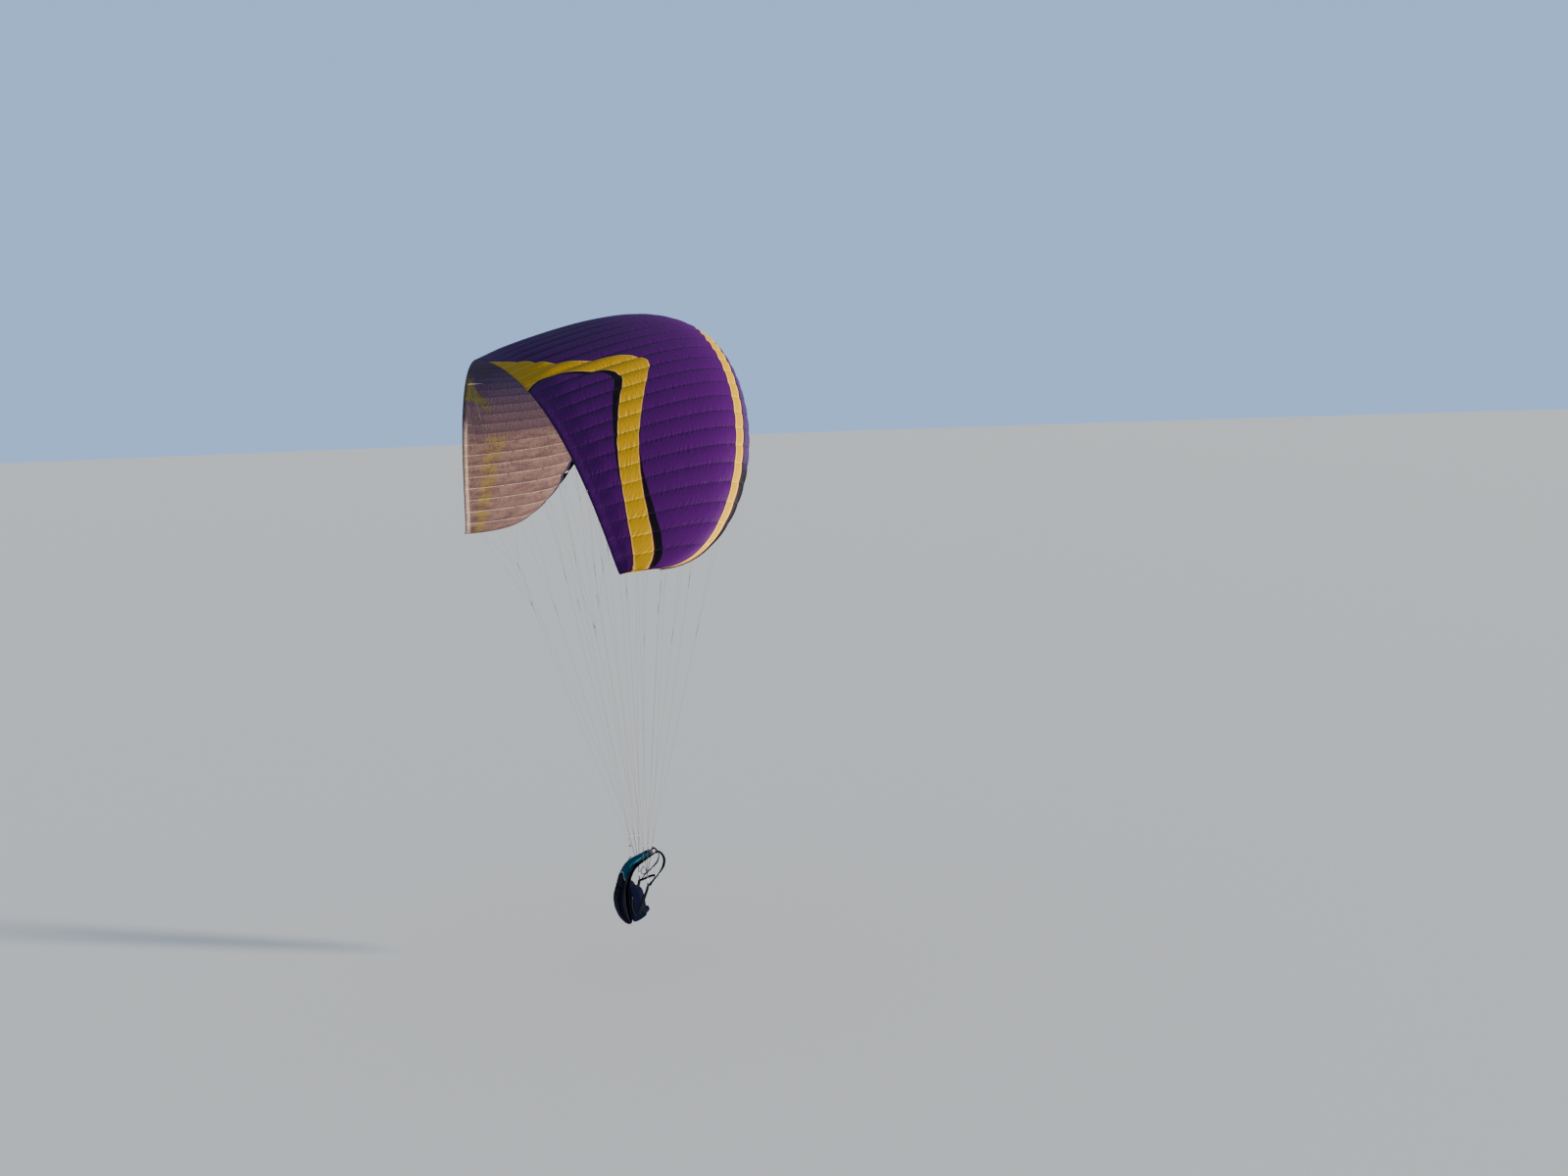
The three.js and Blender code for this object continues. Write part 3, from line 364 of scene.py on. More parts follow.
upper_cloth, under_cloth = top_cloth(), low_cloth()
rib_cloth = plain_cloth("rib_cloth", rgb(228, 222, 214), 0.6, 0.1)
hem_cloth = webbing("hem_tape", HEM)
tab_cloth = webbing("line_tab", rgb(46, 44, 50))
line_red = cord_cloth("line_red", rgb(98, 16, 13), rgb(136, 44, 30))
line_orange = cord_cloth("line_orange", rgb(100, 42, 10), rgb(140, 82, 32))
line_sand = cord_cloth("line_sand", rgb(42, 36, 32), rgb(84, 74, 62))
splice_dark = cord_cloth("splice_dark", rgb(20, 18, 20), rgb(52, 46, 42))
line_brake = cord_cloth("line_brake", rgb(72, 82, 46), rgb(120, 128, 88))
riser_red = webbing("riser_red", rgb(124, 36, 34), rgb(214, 120, 96))
riser_grey = webbing("riser_grey", rgb(96, 98, 104), rgb(206, 206, 204))
riser_black = webbing("riser_black", rgb(40, 40, 44), rgb(150, 152, 156))
harness_web = webbing("harness_webbing", rgb(24, 24, 30))
steel = metal("polished_steel", rgb(214, 216, 220), 0.18)
alloy = metal("anodised_alloy", rgb(176, 180, 188), 0.25)
black_plastic = plastic("black_plastic", rgb(26, 26, 30))
handle_cloth = plain_cloth("handle_padding", rgb(26, 25, 30), 0.75)
black_padding = plain_cloth("black_padding", rgb(20, 20, 25), 0.8)
navy_cloth = plain_cloth("navy_cloth", rgb(11, 15, 34), 0.65)
pocket_cloth = harness_cloth("pocket_cloth")
piping_cloth = plain_cloth("piping", rgb(22, 24, 32), 0.6)
thread_white = plain_cloth("thread_pale", rgb(196, 190, 178), 0.6)
thread_dark = plain_cloth("thread_dark", rgb(78, 76, 82), 0.6)


# Mesh building

def mesh_object(name, points, faces, material, fields=(), smooth=True):
    mesh = bpy.data.meshes.new(name)
    mesh.from_pydata([tuple(p) for p in points], [], [tuple(int(i) for i in f) for f in faces])
    add_fields(mesh, dict(fields))
    mesh.materials.append(material)
    if smooth:
        soften(mesh)
    mesh.update()
    made = bpy.data.objects.new(name, mesh)
    scene.collection.objects.link(made)
    return made


def add_fields(mesh, fields):
    for name, values in fields.items():
        layer = mesh.attributes.new(name, "FLOAT", "POINT")
        layer.data.foreach_set("value", np.asarray(values, dtype=np.float32).ravel())


def soften(mesh):
    mesh.polygons.foreach_set("use_smooth", [True] * len(mesh.polygons))


def placed(made, body, nodes=()):
    """Says what a piece rides and which nodes it replaces."""
    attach(made, body)
    if nodes:
        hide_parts(*nodes)
    return made


def thicken(made, name, thickness):
    solid = made.modifiers.new(name, "SOLIDIFY")
    solid.thickness = thickness
    solid.offset = 0


def grid_faces(rows, columns, around=False):
    faces = []
    for i in range(rows - 1):
        for j in range(columns if around else columns - 1):
            k = (j + 1) % columns
            faces.append([i * columns + j, i * columns + k, (i + 1) * columns + k, (i + 1) * columns + j])
    return faces


def sweep_faces(rows, columns, closed=False):
    """Faces between rings of points, with the two ends closed or joined to each other."""
    last = (rows - 1) * columns
    faces = grid_faces(rows, columns, around=True)
    if closed:
        return faces + [[last + j, last + (j + 1) % columns, (j + 1) % columns, j] for j in range(columns)]
    return faces + [list(range(columns))[::-1], [last + j for j in range(columns)]]


def outward(made):
    work = bmesh.new()
    work.from_mesh(made.data)
    bmesh.ops.recalc_face_normals(work, faces=work.faces)
    work.to_mesh(made.data)
    work.free()
    return made


def filled(loops):
    """A working mesh that fills a flat outline, with the loops inside it left open."""
    work, edges = bmesh.new(), []
    for loop in loops:
        verts = [work.verts.new((p[0], p[1], 0)) for p in loop]
        edges += [work.edges.new((verts[i], verts[(i + 1) % len(verts)])) for i in range(len(verts))]
    bmesh.ops.triangle_fill(work, edges=edges, use_beauty=True)
    return work


def taken_from(work):
    """Points and faces of a working mesh, which is then freed."""
    work.verts.index_update()
    points = np.array([v.co[:] for v in work.verts])
    faces = [[v.index for v in f.verts] for f in work.faces]
    work.free()
    return points, faces


def spline(p0, p1, p2, p3, t):
    """The point at share t of the smooth curve from p1 to p2."""
    return 0.5 * (2 * p1 + (p2 - p0) * t + (2 * p0 - 5 * p1 + 4 * p2 - p3) * t * t
                  + (3 * p1 - p0 - 3 * p2 + p3) * t ** 3)


def smooth_path(points, spacing, closed=False):
    """Points a spacing apart on a smooth curve through the given ones (rows of numbers)."""
    given = np.asarray(points, dtype=float)
    count, made = len(given), []
    for i in range(count if closed else count - 1):
        ids = [i - 1, i, i + 1, i + 2]
        ids = [k % count if closed else min(max(k, 0), count - 1) for k in ids]
        p0, p1, p2, p3 = given[ids]
        steps = max(1, int(math.ceil(np.linalg.norm((p2 - p1)[:3]) / spacing)))
        made += [spline(p0, p1, p2, p3, s / steps) for s in range(steps)]
    if not closed:
        made.append(given[-1])
    return np.array(made)


def unit(v):
    return np.asarray(v, dtype=float) / np.linalg.norm(v)


def units(rows):
    return rows / np.linalg.norm(rows, axis=1)[:, None]


def frames(path, wide_axis, closed=False):
    """Along, wide and thin directions at each point of a path."""
    after = np.roll(path, -1, axis=0) if closed else np.vstack([path[1:], path[-1]])
    before = np.roll(path, 1, axis=0) if closed else np.vstack([path[0], path[:-1]])
    along = units(after - before)
    wide = np.tile(np.asarray(wide_axis, dtype=float), (len(path), 1))
    wide = units(wide - along * np.sum(wide * along, axis=1)[:, None])
    return along, wide, np.cross(along, wide)


def lengths(path):
    return np.concatenate([[0], np.cumsum(np.linalg.norm(np.diff(path, axis=0), axis=1))])


def circle(count):
    return 2 * np.pi * np.arange(count) / count


class Shape:
    """Gathers tubes, straps and plates into one piece."""

    def __init__(self):
        self.points, self.faces, self.along, self.across = [], [], [], []

    def put(self, points, faces, along, across):
        base = len(self.points)
        self.points.extend(np.asarray(points).tolist())
        self.faces.extend([[base + int(i) for i in f] for f in faces])
        self.along.extend(list(along))
        self.across.extend(list(across))
        return self

    def strap(self, stations, wide_axis, spacing=0.006, closed=False, edge=0.5):
        """Rows of stations: x, y, z, width, thickness."""
        rows = smooth_path(stations, spacing, closed)
        path, width, thick = rows[:, :3], rows[:, 3] / 2, rows[:, 4] / 2
        _, wide, thin = frames(path, wide_axis, closed)
        cut = np.minimum(width, thick) * edge
        flat, side, low = width - cut, thick - cut, width * 0
        us = [width, flat, low, -flat, -width, -width, -flat, low, flat, width]
        vs = [side, thick, thick, thick, side, -side, -thick, -thick, -thick, -side]
        rings = np.stack([path + wide * u[:, None] + thin * v[:, None] for u, v in zip(us, vs)], axis=1)
        return self.sweep(rings, path, np.stack(us, axis=1).ravel(), closed)

    def tube(self, path, radius, sides=8, closed=False, spacing=None):
        path = np.asarray(path, dtype=float)
        if spacing:
            path = smooth_path(path, spacing, closed)
        after = path[1] - path[0]
        axis = (1, 0, 0) if abs(after[2]) > 0.8 * np.linalg.norm(after) else (0, 0, 1)
        if closed:
            axis = np.cross(after, path[len(path) // 3] - path[0])
        _, wide, thin = frames(path, axis, closed)
        radii = np.broadcast_to(np.asarray(radius, dtype=float), (len(path),))
        turns = circle(sides)[None, :, None]
        ring = np.cos(turns) * wide[:, None, :] + np.sin(turns) * thin[:, None, :]
        rings = path[:, None, :] + ring * radii[:, None, None]
        return self.sweep(rings, path, np.tile(circle(sides) * 0.002, len(path)), closed)

    def sweep(self, rings, path, across, closed=False):
        rows, columns, _ = rings.shape
        faces = sweep_faces(rows, columns, closed)
        return self.put(rings.reshape(-1, 3), faces, np.repeat(lengths(path), columns), across)

    def plate(self, centre, size):
        """A small plate or block with bevelled edges."""
        work = bmesh.new()
        bmesh.ops.create_cube(work, size=1.0)
        for v in work.verts:
            v.co = Vector([v.co[k] * size[k] for k in range(3)])
        bmesh.ops.bevel(work, geom=list(work.edges), offset=min(size) / 8, segments=2, profile=0.5,
                        affect="EDGES")
        points, faces = taken_from(work)
        points = points + np.asarray(centre)
        return self.put(points, faces, points[:, 2], points[:, 1])

    def mesh(self, name, material, smooth=True):
        fields = {"along": self.along, "across": self.across}
        return mesh_object(name, self.points, self.faces, material, fields, smooth)

    def piece(self, name, material, body, nodes=(), slot=None, fill=None):
        return placed(outward(self.mesh(name, material)), body, nodes)


# The wing's shape, in metres

HALF_SPAN_FLAT, CELLS_PER_HALF, CELL_TAPER = 5.75, 21, 0.1
CELL_WIDTH = HALF_SPAN_FLAT / CELLS_PER_HALF
TIP_ARC_ANGLE, ARC_POWER = 1.215, 1.087
ROOT_CHORD, TIP_CHORD_SHARE, CHORD_POWER = 2.794, 0.175, 2.34
TIP_SWEEP, SWEEP_POWER = 0.658, 1.114
ROOT_INCIDENCE, TIP_TWIST = 0.134, 0.106
THICKNESS, CAMBER, CAMBER_AT = 0.1635, 0.0172, 0.232
THICKNESS_TERMS = (1.4845, -0.63, -1.758, 1.4215, -0.518)
CELL_BULGE = 0.092
INTAKE_TOP_LIP, INTAKE_LOW_LIP, CLOSED_LOW_LIP, LAST_OPEN_RIB = 0.012, 0.075, 0.024, 17
LEAST_HALF_HEIGHT = 0.0012
TINY = 1e-12

ARC_STEPS = 2000
ARC_TURN = TIP_ARC_ANGLE * ((np.arange(ARC_STEPS) + 0.5) / ARC_STEPS) ** ARC_POWER
ARC_Y = np.concatenate([[0], np.cumsum(np.cos(ARC_TURN))]) * HALF_SPAN_FLAT / ARC_STEPS
ARC_Z = -np.concatenate([[0], np.cumsum(np.sin(ARC_TURN))]) * HALF_SPAN_FLAT / ARC_STEPS


def rib_share(k):
    even = np.asarray(k, dtype=float) / CELLS_PER_HALF
    return even * (1 + CELL_TAPER * (1 - even))


def sections(share, side):
    """Chord, nose, back and up of the sections at these shares of the half span."""
    a = np.atleast_1d(np.asarray(share, dtype=float))
    angle = TIP_ARC_ANGLE * a ** ARC_POWER
    fullness = np.sqrt(np.maximum(0, 1 - a ** CHORD_POWER))
    chord = ROOT_CHORD * (TIP_CHORD_SHARE + (1 - TIP_CHORD_SHARE) * fullness)
    incidence = ROOT_INCIDENCE + TIP_TWIST * a
    sin, cos = np.sin(incidence)[:, None], np.cos(incidence)[:, None]
    out = np.stack([0 * a, side * np.sin(angle), np.cos(angle)], axis=1)
    ahead = np.array([[1.0, 0, 0]])
    back, up = -cos * ahead - sin * out, -sin * ahead + cos * out
    y, z = [np.interp(a * ARC_STEPS, np.arange(ARC_STEPS + 1), arc) for arc in (ARC_Y, ARC_Z)]
    trailing = -0.75 * ROOT_CHORD + TIP_SWEEP * a ** SWEEP_POWER
    nose = np.stack([trailing + 0.75 * chord, side * y, z], axis=1) - back * chord[:, None] / 4
    return chord, nose, back, up


def rib_section(rib, side):
    return [value[0] for value in sections([float(rib_share(rib))], side)]


def camber_at(x):
    front = (CAMBER / CAMBER_AT ** 2) * (2 * CAMBER_AT * x - x * x)
    rear = (CAMBER / (1 - CAMBER_AT) ** 2) * (1 - 2 * CAMBER_AT + 2 * CAMBER_AT * x - x * x)
    return np.where(x < CAMBER_AT, front, rear)


def height_at(station, chord, least=LEAST_HALF_HEIGHT):
    """Height over the chord line: stations above zero are on the upper side, below zero on the lower."""
    x = np.abs(station)
    root, first, second, third, fourth = THICKNESS_TERMS
    shape = root * np.sqrt(x) + first * x + second * x ** 2 + third * x ** 3 + fourth * x ** 4
    half = np.maximum(THICKNESS * shape * chord, np.where(x > 0.5, least, 0))
    return camber_at(x) * chord + np.where(station < 0, -half, half)


def low_lip(share):
    closed, opened = rib_share(LAST_OPEN_RIB + 1), rib_share(LAST_OPEN_RIB)
    part = np.clip((np.abs(share) - opened) / (closed - opened), 0, 1)
    return INTAKE_LOW_LIP + (CLOSED_LOW_LIP - INTAKE_LOW_LIP) * part


def surface(shares, stations, side, lift=0.0):
    """Points of a skin and its outward directions: shares by stations, one row each or all the same."""
    chord, nose, back, up = sections(shares, side)
    stations = np.broadcast_to(stations, (len(chord), np.shape(stations)[-1]))
    u = np.abs(stations) * chord[:, None]
    v = height_at(stations, chord[:, None])
    du, dv = np.gradient(u, axis=1), np.gradient(v, axis=1)
    size = np.hypot(du, dv) + TINY
    nu, nv = dv / size, -du / size
    outside = np.sign(np.sum(nv * np.where(stations < 0, -1, 1), axis=1, keepdims=True))
    out = back[:, None, :] * (nu * outside)[..., None] + up[:, None, :] * (nv * outside)[..., None]
    flat = nose[:, None, :] + back[:, None, :] * u[..., None] + up[:, None, :] * v[..., None]
    return flat + out * np.broadcast_to(lift, u.shape)[..., None], out


# The sewn pattern: outlines in thousandths of the half span and of the chord

BAND = np.array([
    (1020, 790), (940, 805), (880, 810), (805, 797), (740, 778), (670, 744), (610, 700), (552, 654),
    (500, 602), (480, 583), (462, 576), (440, 592), (418, 632), (403, 691), (384, 755), (367, 813),
    (354, 882), (353, 929), (366, 970), (392, 1030), (90, 1030), (107, 1000), (188, 945), (245, 882),
    (297, 820), (328, 744), (352, 670), (366, 590), (378, 520), (393, 472), (412, 436), (432, 419),
    (450, 423), (485, 458), (545, 518), (608, 574), (660, 617), (713, 647), (765, 666), (823, 672),
    (883, 656), (930, 622), (970, 580), (1020, 520)
]) / 1000
SHADOW_REAR = np.array([
    (400, 1030), (374, 970), (361, 930), (362, 885), (376, 818), (394, 755), (413, 697), (427, 653),
    (445, 623), (462, 615), (482, 628), (520, 664), (560, 695), (610, 726), (680, 765), (740, 790),
    (800, 800), (740, 750), (670, 700), (500, 520), (420, 550), (390, 680), (350, 800), (340, 930),
    (370, 1030)
]) / 1000
SHADOW_FRONT = np.array([
    (640, 600), (713, 640), (765, 648), (825, 634), (885, 598), (943, 530), (1020, 390), (1020, 700),
    (900, 700), (800, 720), (700, 680)
]) / 1000
STRIPE_FRONT = np.array([
    (0, -30), (160, -20), (270, 4), (372, 20), (500, 28), (620, 34), (750, 40), (850, 37), (920, 30),
    (970, 18), (1020, 4)
]) / 1000
NOSE_STRIPE = np.concatenate([np.array([
    (150, 0), (250, 36), (350, 60), (500, 68), (620, 74), (730, 81), (830, 85), (910, 87), (960, 78),
    (1020, 42)
]) / 1000, STRIPE_FRONT[:0:-1]])
DARK_LINE, DARK_LINE_FROM = 0.016, 0.17
FAR = 1e9


def flattened(shares, stations):
    chord = sections(np.abs(np.ravel(shares)), 1)[0].reshape(np.shape(shares))
    return np.stack([np.asarray(shares) * HALF_SPAN_FLAT, np.asarray(stations) * chord], axis=-1)


def inside_distance(points, outline):
    """Distance to an outline of the pattern in metres on the cut cloth, above zero inside it."""
    steps = np.linspace(0, 1, 6)[:-1, None]
    fine = np.concatenate([a + (b - a) * steps for a, b in zip(outline, np.roll(outline, -1, axis=0))])
    ring = flattened(np.clip(fine[:, 0], 0, 0.9999), fine[:, 1])
    ring[:, 0] = fine[:, 0] * HALF_SPAN_FLAT
    best, odd = np.full(len(points), FAR), np.zeros(len(points), dtype=bool)
    x, y = points.T
    for (ax, ay), (bx, by) in zip(ring, np.roll(ring, -1, axis=0)):
        ex, ey = bx - ax, by - ay
        part = np.clip(((x - ax) * ex + (y - ay) * ey) / (ex * ex + ey * ey + TINY), 0, 1)
        best = np.minimum(best, np.hypot(x - ax - part * ex, y - ay - part * ey))
        crosses = (ay > y) != (by > y)
        odd ^= crosses & (x < ax + ex * (y - ay) / (ey if abs(ey) > TINY else TINY))
    return np.where(odd, best, -best)


def pattern(shares, stations):
    """Gold, black and nose fields at a grid of places, shares and stations of the same shape."""
    places = flattened(shares, stations).reshape(-1, 2)
    band, stripe, rear, front = [
        inside_distance(places, outline) for outline in (BAND, NOSE_STRIPE, SHADOW_REAR, SHADOW_FRONT)]
    shares, stations = np.ravel(shares), np.ravel(stations)
    ahead = (np.interp(shares, *STRIPE_FRONT.T) - stations) * sections(shares, 1)[0]
    line = DARK_LINE / 2 - np.abs(ahead - DARK_LINE / 2)
    line = np.where(shares > DARK_LINE_FROM, line, -1)
    return np.maximum(band, stripe), np.maximum(np.maximum(rear, front), line), ahead


def shone_through(shares, x):
    """Where on the upper skin the colour comes from that low light carries to a place of the lower skin."""
    behind = 0.075 + 0.55 * np.clip(0.8 - shares, 0, 0.3)
    behind = behind * np.clip((1 - x) / 0.15, 0.2, 1)
    return np.maximum(shares - 0.06, 0), np.maximum(x - behind, 0)


# Skins of the wing

SUBDIVISIONS, CHORD_STEPS, NOSE_STEPS = 9, 64, 14
SKIN_THICK, RIB_THICK, NOSE_SHARE, SPACING_ROUND = 0.0015, 0.0012, 0.04, 0.55
RIB_END, RIB_FIT, RIB_INSET = 0.985, 0.995, 0.001
HOLES_AT, LAST_RIB_WITH_HOLES = (0.14, 0.24, 0.35, 0.46, 0.57, 0.67), 19
HOLE_REACH, HOLE_HEIGHT, HOLE_SIDES = 0.032, 0.3, 20
rng = np.random.default_rng(7)
WAVES = rng.uniform(-1, 1, (24, 4))


def rumple(a, b):
    """A smooth uneven field from -1 to 1 over two coordinates."""
    total = 0 * a
    for fa, fb, phase, size in WAVES:
        total = total + size * np.sin(fa * a + fb * b + 9 * phase)
    return total / 4.0


def span_columns():
    """Places along the half span, and how far each is across its cell."""
    places, fractions = [], []
    for k in range(CELLS_PER_HALF):
        for s in range(SUBDIVISIONS):
            fraction = s / SUBDIVISIONS
            eased = 0.5 - 0.5 * math.cos(math.pi * fraction)
            eased = SPACING_ROUND * eased + (1 - SPACING_ROUND) * fraction
            places.append(float(rib_share(k) + (rib_share(k + 1) - rib_share(k)) * eased))
            fractions.append(eased)
    return np.array(places + [1.0]), np.array(fractions + [0.0])


def bulge(fractions, x):
    """How far the cloth of a cell swells out between its ribs."""
    fade = np.minimum(1, 7 * (1 - x)) * np.minimum(1, 0.35 + 5 * x)
    return CELL_BULGE * CELL_WIDTH * (4 * fractions * (1 - fractions)) * fade


def skin(side, label, upper):
    shares, fractions = span_columns()
    ease = np.linspace(0, 1, CHORD_STEPS)
    if upper:
        nose = NOSE_SHARE * np.linspace(1, 0, NOSE_STEPS)[1:]
        lip = [-INTAKE_TOP_LIP * 0.5, -INTAKE_TOP_LIP]
        stations = np.concatenate([1 - (1 - NOSE_SHARE) * ease, nose, lip])
        stations = np.broadcast_to(stations, (len(shares), len(stations)))
    else:
        lips = low_lip(shares)[:, None]
        stations = -(lips + (1 - lips) * (0.35 * ease + 0.65 * ease ** 1.6)[None, :])
    x = np.abs(stations)
    chord = sections(shares, side)[0][:, None]
    across, along = (shares * HALF_SPAN_FLAT)[:, None] + 0 * x, stations * chord
    edge = np.sin(np.pi * fractions)[:, None]
    pucker = np.sin(2 * np.pi * edge) * (edge < 0.5) * 0.0022 * rumple(across * 3, along * 55)
    sway = 0.004 * edge * rumple(across * 2.5, along * 6)
    lift = bulge(fractions[:, None], x)
    lift = lift + (pucker + sway) * np.minimum(1, 6 * (1 - x)) * np.minimum(1, 8 * x + 0.1)
    if not upper:
        by_edge = np.clip((x - 0.86) / 0.1, 0, 1) * np.clip((1 - x) / 0.02, 0, 1)
        lift = lift + 0.0045 * by_edge * rumple(across * 16, along * 9)
    points, _ = surface(shares, stations, side, lift)
    points[0, :, 1] = 0
    seam = np.minimum(fractions, 1 - fractions)[:, None] * CELL_WIDTH + 0 * x
    fields = {"span": across, "chord": along, "seam": seam, "rear": (1 - x) * chord}
    share_grid = np.broadcast_to(shares[:, None], x.shape)
    if upper:
        fields["gold"], fields["black"], fields["nose"] = pattern(share_grid, stations)
        name, material, node, slot = "upper_skin", upper_cloth, "upper_surface", "top_cloth"
    else:
        # On the lower skin the gold field marks the painted glow of sunlight through the upper gold band, not
        # gold cloth.
        fields["gold"] = inside_distance(flattened(*shone_through(share_grid, x)).reshape(-1, 2), BAND)
        fields["front"] = (x - low_lip(shares)[:, None]) * chord
        name, material, node, slot = "lower_skin", under_cloth, "lower_surface", "under_cloth"
    made = mesh_object(f"{name}_{label}", points.reshape(-1, 3), grid_faces(*x.shape), material, fields)
    thicken(made, "cloth", SKIN_THICK)
    return placed(made, "wing", [f"{node}_{label}"])


def rib_plates(side, name, nodes, ribs):
    """Cloth ribs between the skins, with a row of air holes."""
    shape = Shape()
    for k in ribs:
        chord, nose, back, up = rib_section(k, side)
        top = (np.linspace(RIB_END, 0.0, 46) ** 1.35)[:-1]
        low = -np.linspace(float(low_lip(float(rib_share(k)))), RIB_END, 30)
        stations = np.concatenate([top, [0.004, 0.0, -INTAKE_TOP_LIP], low])
        height = height_at(stations, chord)
        height = height * RIB_FIT - np.sign(height) * RIB_INSET
        loops = [np.stack([np.abs(stations) * chord, height], axis=1)]
        for centre in HOLES_AT if k <= LAST_RIB_WITH_HOLES else ():
            above, below = [float(height_at(np.array(station), chord)) for station in (centre, -centre)]
            turn = circle(HOLE_SIDES)
            u = centre * chord + HOLE_REACH * chord * np.cos(turn)
            v = (above + below) / 2 + HOLE_HEIGHT * (above - below) * np.sin(turn)
            loops.append(np.stack([u, v], axis=1))
        flat, faces = taken_from(filled(loops))
        x, y = flat[:, 0], flat[:, 1]
        shape.put(nose + back * x[:, None] + up * y[:, None], faces, x, y)
    made = shape.mesh(name, rib_cloth, False)
    thicken(made, "cloth", RIB_THICK)
    return placed(made, "wing", nodes)


def cut_size(upper):
    """The widest chordwise length, the length along the span and the area that a skin is cut to."""
    shares = np.linspace(0, 1, 200)
    first = np.full(len(shares), INTAKE_TOP_LIP) if upper else low_lip(shares)
    rows = np.array([np.linspace(1, 0, 120) ** 2 if upper else -np.linspace(lip, 1, 120) for lip in first])
    points, _ = surface(shares, rows, 1)
    lengthwise = np.linalg.norm(np.diff(points, axis=1), axis=2).sum(axis=1) + (first if upper else 0)
    return float(lengthwise.max()), HALF_SPAN_FLAT, float(np.mean(lengthwise) * HALF_SPAN_FLAT)


def tape(made, path, corners, across):
    """A flat tape: corners are four rows of offsets from the path."""
    faces = grid_faces(len(path), 4, around=True)
    faces += [[0, 1, 2, 3], [4 * len(path) - k for k in (1, 2, 3, 4)]]
    points = np.stack([path + corner for corner in corners], axis=1).reshape(-1, 3)
    made.put(points, faces, np.repeat(lengths(path), 4), np.tile(across, len(path)))


def hems(side, label):
    """Tape round the air intakes and along the trailing edge."""
    shares, fractions = span_columns()
    made = Shape()
    for station in (np.full(len(shares), -INTAKE_TOP_LIP), -low_lip(shares)):
        near = np.stack([station, station - 0.002], axis=1)
        points, out = surface(shares, near, side, bulge(fractions, np.abs(station))[:, None])
        path, normal = points[:, 0], out[:, 0]
        across = np.cross(units(np.gradient(path, axis=0)), normal)
        offsets = [(-0.008, -0.0014), (-0.008, 0.0014), (0.008, 0.0014), (0.008, -0.0014)]
        tape(made, path, [across * u + normal * v for u, v in offsets], [u for u, _ in offsets])
    intake = made.piece(f"intake_hem_{label}", hem_cloth, "wing", slot="top_cloth")
    chord, nose, back, up = sections(shares, side)
    path = nose + back * (chord * 0.998)[:, None] + up * height_at(np.array(1.0), chord, 0)[:, None]
    path[0, 1] = 0
    offsets = [(-0.004, 0.0022), (0.010, 0.003), (0.010, -0.003), (-0.004, -0.0022)]
    made = Shape()
    tape(made, path, [up * v - back * u for u, v in offsets], [0.0, 0.01, 0.01, 0.0])
    return intake, made.piece(f"trailing_hem_{label}", hem_cloth, "wing", slot="top_cloth")


SIDES = [("left", 1), ("right", -1)]

cloths = {}
for label, side in SIDES:
    top, low = skin(side, label, True), skin(side, label, False)
    ribs = rib_plates(side, f"cell_ribs_{label}", [f"lower_surface_{label}"], range(1, CELLS_PER_HALF + 1))
    cloths[label] = (top, low, ribs)
middle_rib = rib_plates(1, "middle_rib", ["rib_centre"], [0])
for label, side in SIDES:
    top, low, ribs = cloths[label]
    edging = list(hems(side, label))
    inside = [ribs, middle_rib] if side > 0 else [ribs]
    for piece, upper, others in ((top, True, edging), (low, False, inside)):
        width, length, area = cut_size(upper)

# Lines, in metres

LINE_RADIUS, LINE_PITCH = 0.0011, 0.0036
INSERT_DEPTH, INSERT_WIDTH, INSERT_HEIGHT, TIP_INSERT_WIDTH = 0.009, 0.020, 0.010, 0.016
TIP_START_IN, TIP_START_DOWN = 0.003, 0.0035
FIT = 0.0003
# For each row of lines, its share of the chord and how far forward its web stands
ROWS = {"a": (0.09, 0.058), "b": (0.34, -0.012), "c": (0.63, -0.084)}
MAIN_RIBS, MAIN_SPLIT, MAIN_TOP = [(2, 5), (8, 11), (14, 17)], 0.6, 0.9
TIP_RIBS, TIP_LINE_CHORD, TIP_LINE_SPLIT = (19, 21), 0.42, 0.84
BRAKE_RIBS, BRAKE_SPLIT, BRAKE_TOP = (4, 9, 14, 19), 0.58, 0.8
ROW_FAN, BRAKE_FAN = (-1, 1), (-1.5, 1.5)
LINE_INTO_CLOTH, BRAKE_END, BRAKE_BELOW = 0.004, 0.996, 0.003
STRAND, SHORT_STRAND, STRAND_GAP = 0.85, 0.7, 0.0012
HANG_DROP, HANG_FORWARD = 7.386, 0.031
CARABINER = np.array([HANG_FORWARD, 0.210, -HANG_DROP - 0.470])
RISER_LENGTH, RISER_LEAN = 0.520, 0.24
MAILLON_HEIGHT, MAILLON_WIDTH, MAILLON_BAR, MAILLON_CORNER = 0.026, 0.030, 0.0022, 0.005
PULLEY_DROP, PULLEY_RADIUS, PULLEY_OUT, PULLEY_BACK, PULLEY_THICK = 0.130, 0.011, 0.022, 0.026, 0.009


def beside(side, point):
    return np.array([point[0], side * point[1], point[2]])


def riser_top(side, web_x):
    rise = math.sqrt(RISER_LENGTH ** 2 - web_x ** 2)
    y = CARABINER[1] + rise * math.sin(RISER_LEAN)
    return beside(side, (CARABINER[0] + web_x, y, CARABINER[2] + rise * math.cos(RISER_LEAN)))


def line_foot(side, web_x):
    return riser_top(side, web_x) + [0, 0, MAILLON_HEIGHT + MAILLON_BAR + FIT + INSERT_HEIGHT / 2]


